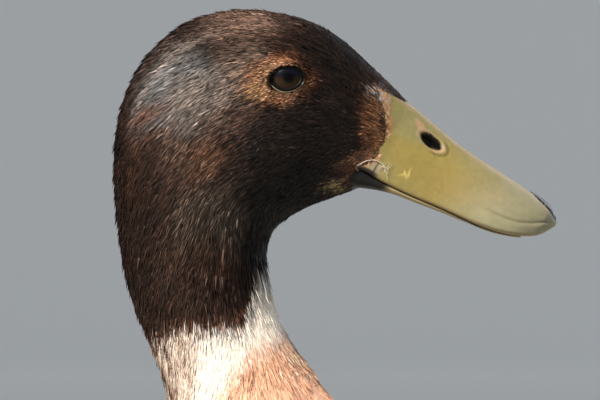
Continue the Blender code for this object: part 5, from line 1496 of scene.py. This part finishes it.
def make_wing(word, side, finish):
    """The core as a closed tube of rings across the wing, the small coverts laid over it, and
    the rows of long vanes."""
    around = np.concatenate([np.sin(np.linspace(-math.pi / 2, math.pi / 2, 50)) / 2 + 0.5, (0.8, 0.5, 0.2)])
    a = np.linspace(WING_FORM[0, 0], WING_FORM[-1, 0], 90)[:, None]
    top, bottom = (np.interp(a, WING_FORM[:, 0], WING_FORM[:, c]) for c in (1, 2))
    v = side * np.radians(top + (bottom - top) * around)
    a = np.broadcast_to(a, v.shape)
    rings = wing_surface(a, v)
    rings[:, 50:] = over_trunk(a[:, 50:], v[:, 50:], -WING_SUNK - 2)[0]
    points, faces = closed_tube(rings)
    core = put_mesh(f"wing_core_{word}", points, right_way(points, faces))
    add_colours(core, "plumage", flat_colour("#5d5046", points))
    set_in_place(core, head_finish, "wing_plumage", f"wing_{word}")

    chance = np.random.default_rng(500 + side)
    rows = []
    for number, place in enumerate(np.arange(SMALL_COVERTS_FROM, SMALL_COVERTS_TO, SMALL_ROW_STEP)):
        high, low = (np.interp(place, WING_FORM[:, 0], WING_FORM[:, c]) for c in (1, 2))
        count = int((low - high) / SMALL_SPACING)
        at = (np.arange(count) + (0.25, 0.75)[number % 2] + chance.uniform(-0.2, 0.2, count)) / count
        rows.append(np.stack([np.full(count, place), np.radians(high + (low - high) * at)], -1))
    a, v = np.concatenate(rows).T
    count = len(a)
    length, width = np.interp(a, (50, 130), (10, 17)), np.interp(a, (50, 130), (7, 11))
    ground = linear("#54473d") * np.exp(0.1 * chance.standard_normal(count))[:, None]
    lay_fans(f"lesser_coverts_{word}", wing_surface, a, v * side, length, width,
             0.08 * chance.standard_normal(count), np.full(count, 0.6), chance.uniform(0.3, 0.8, count),
             ground, washed(ground, ("#a8957a", 0.55)), chance, soft_finish, "wing_plumage")

    for row, (count, root_a, tip_a, root_b, tip_b, width_a, width_b) in WING_ROWS.items():
        share = np.linspace(0, 1, count)[:, None]
        root = np.array(root_a) + (np.array(root_b) - root_a) * share
        tip = np.array(tip_a) + (np.array(tip_b) - tip_a) * share
        tip[:, 0] += chance.uniform(-2, 2, count)
        tip[:, 1] += chance.uniform(-0.8, 0.8, count)
        lines = root[:, None] + (tip - root)[:, None] * STATIONS[:, None]
        middle, normal = over_trunk(lines[..., 0], side * np.radians(lines[..., 1]), lines[..., 2])
        width = np.linspace(width_a, width_b, count)
        make_long_vanes(f"{row}_{word}", middle, normal, width, row in POINTED_ROWS, -side * VANE_RAISE,
                        WING_PAINTS[row], finish, "wing_plumage", chance)


flight_finish = web_finish("grown flight feather webs", 0.5, 1.0)
for word, side in SIDES:
    make_wing(word, side, flight_finish)

# Tail: a fan of stiff feathers, white-edged, between rows of coverts above and below, and the
# drake's curled feathers, which rise from its root and roll forwards.
TAIL_SLOPE = math.radians(9)
TAIL_MIDDLE = (-209.0, 125.0)
TAIL_LENGTH = 86.0
TAIL_CORE = ((0.15, 33.0, 6.6), (0.32, 32.0, 5.2), (0.48, 28.0, 3.6), (0.60, 21.0, 1.8))
# Its vanes: how many, shares of the length at root and tip, fan angle, height over the plane,
# how far the outermost hangs below the middle ones, width and spread of the roots.
TAIL_ROWS = {
    "tail_feathers": (18, 0.12, 1.00, math.radians(19), 1.4, 3.0, 13.0, 24.0),
    "tail_coverts_outer": (9, 0.10, 0.74, math.radians(11), 4.2, 3.0, 15.0, 21.0),
    "tail_coverts_inner": (8, 0.02, 0.52, math.radians(11), 5.6, 3.4, 15.0, 21.0),
    "under_tail_coverts_outer": (8, 0.10, 0.68, math.radians(11), -3.1, -1.2, 15.0, 20.0),
    "under_tail_coverts_inner": (8, 0.02, 0.46, math.radians(11), -4.6, -1.4, 15.0, 21.0),
}
# The four curled feathers: spacing, width, turn, roll, and radius of the outer and inner ones.
CURL_SPACING, CURL_WIDTH, CURL_TURN, CURL_ROLL = 6.4, 8.0, math.radians(235), math.radians(30)
CURL_OUTER, CURL_INNER, CURL_SHRINK = 11.0, 12.6, 0.30


def tail_place(share, across, rise):
    """A point of the tail: a share of its length behind its root, across and above its plane."""
    x = TAIL_MIDDLE[0] - TAIL_LENGTH * share * math.cos(TAIL_SLOPE) - rise * math.sin(TAIL_SLOPE)
    z = TAIL_MIDDLE[1] - TAIL_LENGTH * share * math.sin(TAIL_SLOPE) + rise * math.cos(TAIL_SLOPE)
    return np.stack(np.broadcast_arrays(x * MM + SHIFT, across * MM, z * MM), -1)


def paint_tail(share, t, c):
    """Dark grey-brown with white edges, widest on the outermost feathers."""
    return edged("#4f433a", "#ebe3d6", t, c, 0.86 - 0.35 * abs(2 * share - 1) ** 2)


def paint_covert(share, t, c):
    """Very dark brown with thin cream edges."""
    return edged("#3a2d25", "#bda587", t, c)


def paint_curl(share, t, c):
    """Near black, with a faint brown edge."""
    return edged("#2a221d", "#6b5645", t, c)


def make_tail(finish):
    """The core as a closed tube, then every row of vanes of the fan and its coverts."""
    turn = full_turn(60)
    u, v = np.meshgrid(np.linspace(22.35, 22.9, 6), turn, indexing="ij")
    point, _, _, normal = surface_frame(body_point, u, v)
    rings = list(point - 0.6 * MM * normal)
    rings += [tail_place(share, wide * np.sin(turn), high * np.cos(turn)) for share, wide, high in TAIL_CORE]
    points, faces = closed_tube(np.array(rings))
    core = put_mesh("tail_core", points, faces)
    add_colours(core, "plumage", flat_colour("#35291f", points))
    set_in_place(core, head_finish, "tail_plumage", "tail")

    chance = np.random.default_rng(700)
    up = np.array((-math.sin(TAIL_SLOPE), 0, math.cos(TAIL_SLOPE)))
    for row, (count, root, tip, fan, level, drop, width, spread) in TAIL_ROWS.items():
        aside = np.linspace(-1, 1, count)[:, None]
        reach = tip * (1 - 0.20 * aside ** 2) + chance.uniform(-0.012, 0.012, (count, 1))
        run = STATIONS * (reach - root) * TAIL_LENGTH
        across = aside * spread + run * np.sin(aside * fan)
        rise = level - drop * np.abs(aside) - 0.0022 * across ** 2
        middle = tail_place(root + run * np.cos(aside * fan) / TAIL_LENGTH, across, rise)
        normal = np.broadcast_to(up, middle.shape)
        raised = -1.5 * np.sign(aside * drop)[:, None] * np.ones((count, 1, 1))
        paint = paint_tail if row == "tail_feathers" else paint_covert
        make_long_vanes(row, middle, normal, np.full(count, width), False, raised, paint, finish,
                        "tail_plumage", chance)


def make_curls(finish):
    """Curled feathers: each middle line is a tightening circle that first leans back."""
    k = np.arange(4)
    aside = ((k - 1.5) * CURL_SPACING)[:, None]
    outer = (k % 3 == 0)[:, None]
    radius, start = np.where(outer, CURL_OUTER, CURL_INNER), np.where(outer, 0.10, 0.15)
    turn = np.linspace(0, CURL_TURN, 27)
    shrink = 1 - CURL_SHRINK * turn / CURL_TURN
    base = tail_place(start, aside, 4.0)
    x = -radius * shrink * np.sin(turn) * 1.15 - 22.0 * np.minimum(turn, 0.8)
    z = radius * (1 - np.cos(turn) * shrink) * 0.95
    middle = base + np.stack(np.broadcast_arrays(x, 0.14 * aside * turn, z), -1) * MM
    normal = unit(np.cross(np.gradient(middle, axis=1), (0, 1, 0)))
    roll = (np.sign(aside) * CURL_ROLL)[..., None]
    normal = normal * np.cos(roll) + np.array((0, 1, 0)) * np.sin(roll)
    make_long_vanes("tail_curls", middle, normal, np.full(4, CURL_WIDTH), True, 0.0, paint_curl, finish,
                    "tail_plumage", np.random.default_rng(710))


make_tail(flight_finish)
make_curls(web_finish("glossy curled drake feathers", 0.3, 1.0))

# Legs: bare orange skin over bone, covered with scutes in front and fine scales elsewhere.
# Three webbed toes point forwards and a small one back, each with a dark claw.
ANKLE_X, ANKLE_Y = -22.0, 38.0
SHANK_RINGS = (
    (-22.0, 0.35, 6.2, 5.7), (-22.0, 2.0, 6.9, 6.3), (-22.0, 5.0, 6.5, 6.0), (-22.0, 8.3, 5.5, 4.9),
    (-22.4, 13.0, 4.9, 4.2), (-24.5, 24.0, 4.5, 3.8), (-28.0, 36.0, 4.7, 3.9), (-32.5, 47.0, 5.4, 4.5),
    (-36.5, 56.0, 6.6, 5.4), (-38.5, 63.0, 6.9, 5.6), (-37.0, 70.0, 7.0, 5.6),
)
FOOT_TURN = math.radians(8)
TOES = ((math.radians(-27), 50.0, -3.0), (0.0, 63.0, -2.0), (math.radians(25), 57.0, -1.0))
TOE_SWELLS = ((0.0, 0.22, 0.40, 0.62, 0.80, 0.93, 1.0), (1.10, 0.95, 1.05, 0.92, 0.98, 0.82, 0.66))
HIND_TOE_ANGLE, HIND_TOE_LENGTH = math.radians(168), 14.0
CLAW_LENGTH, CLAW_RADIUS = 7.5, 1.9
SCUTE_LENGTH = 2.6
TOE_HALF_WIDTH, TOE_HEIGHT, WEB_TOP, WEB_UNDER, FUSE_GRAIN = 3.6, 5.2, 2.0, 0.6, 0.7


def foot_place(side, angle, r, across, z):
    """A point by distance r along a line turned by angle from straight ahead, outwards positive."""
    turn = FOOT_TURN + angle
    x = ANKLE_X + r * np.cos(turn) - across * np.sin(turn)
    y = ANKLE_Y + r * np.sin(turn) + across * np.cos(turn)
    return np.stack(np.broadcast_arrays(x * MM + SHIFT, side * y * MM, z * MM), -1)


def leg_tube(rings):
    """A closed tube of rings, turned right side out on either leg."""
    points, faces = closed_tube(rings)
    return points, right_way(points, faces)


def toe_tube(side, angle, length, start):
    """A toe with a flat sole and a round back: its half width and height swell at the knuckles."""
    share = np.linspace(0, 1, 40)[:, None]
    swell = np.interp(share, *TOE_SWELLS)
    r = start + (length - start) * share
    half = TOE_HALF_WIDTH * swell * (1 - 0.22 * share)
    rise = TOE_HEIGHT * swell * (1 - 0.25 * share) - 0.7
    a = np.linspace(0, math.pi, 16)
    back = foot_place(side, angle, r, half * np.cos(a), 0.7 + rise * np.sin(a))
    sole = foot_place(side, angle, r, half * np.array((-0.85, 0.85)), np.zeros((40, 2)))
    return leg_tube(np.concatenate([back, sole], 1))


def rod_tube(side, angle, reach, rise, radius, around=20):
    """A round rod along a toe's line."""
    a = full_turn(around)
    return leg_tube(foot_place(side, angle, reach[:, None], radius[:, None] * np.cos(a),
                               rise[:, None] + radius[:, None] * np.sin(a)))


def web_slab(side):
    """The web: a fan of points from behind the ankle to a front edge hollowed between the toes."""
    toe_angles, toe_lengths, _ = np.transpose(TOES)
    angles = np.concatenate([np.linspace(*toe_angles[:2], 24), np.linspace(*toe_angles[1:], 24)[1:]])
    shares = np.concatenate([np.linspace(0, 1, 24), np.linspace(0, 1, 24)[1:]])
    reach = 0.9 * np.interp(angles, toe_angles, toe_lengths)
    reach = reach * (1 - 0.15 * np.sin(math.pi * shares))
    r = np.linspace(-2, 1, 30)[:, None]
    r = np.where(r < 0, r, r * reach)
    top = foot_place(side, angles, r, 0.0, WEB_TOP - 0.5 * smooth_step(0.3, 1.0, r / reach))
    bottom = foot_place(side, angles, r, 0.0, WEB_UNDER)
    faces = slab_faces(*top.shape[:2])
    points = np.concatenate([top.reshape(-1, 3), bottom.reshape(-1, 3)])
    return points, right_way(points, faces)


def make_leg(word, side, finish, horn):
    """Shank, toes and web fused into one skin by a fine voxel remesh, and the four claws."""
    rings = np.array(SHANK_RINGS)
    fine = spline(np.arange(len(rings)), rings, np.linspace(0, len(rings) - 1, 70))
    a = full_turn(40)
    x, z, deep, wide = (fine[:, c, None] for c in range(4))
    shank = np.stack(np.broadcast_arrays((x + deep * np.cos(a)) * MM + SHIFT,
                                         side * (ANKLE_Y + wide * np.sin(a)) * MM, z * MM), -1)
    hind = np.linspace(0, 1, 16)
    parts = [leg_tube(shank), web_slab(side)]
    parts += [toe_tube(side, *toe) for toe in TOES]
    rise, thick = (np.interp(hind, (0, 0.5, 1), row) for row in ((5.2, 4.0, 2.8), (2.6, 2.4, 1.9)))
    parts.append(rod_tube(side, HIND_TOE_ANGLE, HIND_TOE_LENGTH * hind, rise, thick))
    raw = put_mesh("leg_raw", *joined(parts))
    fuse = raw.modifiers.new("fuse", "REMESH")
    fuse.mode = "VOXEL"
    fuse.voxel_size = FUSE_GRAIN * MM
    fuse.use_smooth_shade = True
    graph = bpy.context.evaluated_depsgraph_get()
    mesh = bpy.data.meshes.new_from_object(raw.evaluated_get(graph))
    bpy.data.objects.remove(raw)
    places = np.zeros(len(mesh.vertices) * 3, np.float32)
    mesh.vertices.foreach_get("co", places)
    places = places.reshape(-1, 3)
    corners = np.zeros(len(mesh.loops), np.int32)
    mesh.loops.foreach_get("vertex_index", corners)
    leg = put_mesh(f"leg_{word}", places, corners.reshape(-1, 4))
    own = own_mm(places)
    colour = washed(
        flat_colour("#c8662c", places),
        ("#a44a1e", 0.5 * smooth_step(0.0, 0.7, mottle(places, 6, 41))),
        ("#d98a4a", 0.4 * smooth_step(8, 1, own[:, 2]) * smooth_step(0, 0.6, mottle(places, 4, 42))))
    shank_x = np.interp(own[:, 2], rings[:, 2], rings[:, 0])
    front = smooth_step(1.0, 3.0, own[:, 0] - shank_x) * smooth_step(9, 14, own[:, 2])
    reach = np.hypot(own[:, 0] - ANKLE_X, np.abs(own[:, 1]) - ANKLE_Y)
    top = smooth_step(2.6, 3.4, own[:, 2]) * smooth_step(8, 11, reach) * smooth_step(14, 9, own[:, 2])
    for share, place in ((front, own[:, 2]), (top, reach)):
        seam = smooth_step(0.8, 0.97, np.cos(2 * math.pi * place / SCUTE_LENGTH))
        colour = washed(colour, ("#7d3210", 0.75 * share * seam))
    add_colours(leg, "skin", colour)
    set_in_place(leg, finish, "leg_skin", f"shank_{word}", f"foot_{word}")

    tips = [(angle, length, 2.0) for angle, length, _ in TOES] + [(HIND_TOE_ANGLE, HIND_TOE_LENGTH, 2.8)]
    for number, (angle, length, root_z) in enumerate(tips, 1):
        share = np.linspace(0, 1, 18)
        radius = CLAW_RADIUS * np.sqrt(np.clip(1 - share ** 1.7, 0.004, 1))
        rise = np.maximum(root_z - (root_z - 0.75) * share ** 1.6, radius + 0.15)
        points, faces = rod_tube(side, angle, length - 0.8 + (CLAW_LENGTH + 0.8) * share, rise, radius)
        claw = put_mesh(f"fine_claw_{word}_{number}", points, faces)
        wear = smooth_step(0.2, 0.8, mottle(points, 1.5, 43))
        add_colours(claw, "horn", washed(flat_colour("#2a241f", points), ("#5b4d40", 0.5 * wear)))
        set_in_place(claw, horn, "claw_horn", f"claw_{word}_{number}")


def leg_finish(name):
    """Leathery scaled skin: small raised scales with dark seams between, and a low wet gloss."""
    finish, shader = new_finish(name, Roughness=0.45)
    tint = add_node(finish, "Attribute", {"attribute_name": "skin"})
    place = add_node(finish, "TexCoord")
    scales = add_node(finish, "TexVoronoi", {"feature": "DISTANCE_TO_EDGE"}, {
        "Vector": place.outputs["Object"], "Scale": 1 / (1.0 * MM), "Randomness": 0.8})
    seam = add_node(finish, "MapRange", {"interpolation_type": "SMOOTHSTEP"}, {
        "Value": scales.outputs["Distance"], "From Min": 0.0, "From Max": 0.2, "To Min": 0.72, "To Max": 1.0})
    tone = add_node(finish, "Mix", {"data_type": "RGBA", "blend_type": "MULTIPLY"}, {
        "Factor": 1.0, "A": tint.outputs["Color"], "B": seam.outputs["Result"]})
    relief = add_node(finish, "Bump", inputs={
        "Height": seam.outputs["Result"], "Strength": 0.5, "Distance": 0.15 * MM})
    link(finish, tone.outputs["Result"], shader.inputs["Base Color"])
    link(finish, relief.outputs["Normal"], shader.inputs["Normal"])
    return finish


scaled_skin = leg_finish("scaled orange leg skin")
claw_finish = horn_finish("dark grown claw horn", 0.35)
for word, side in SIDES:
    make_leg(word, side, scaled_skin, claw_finish)
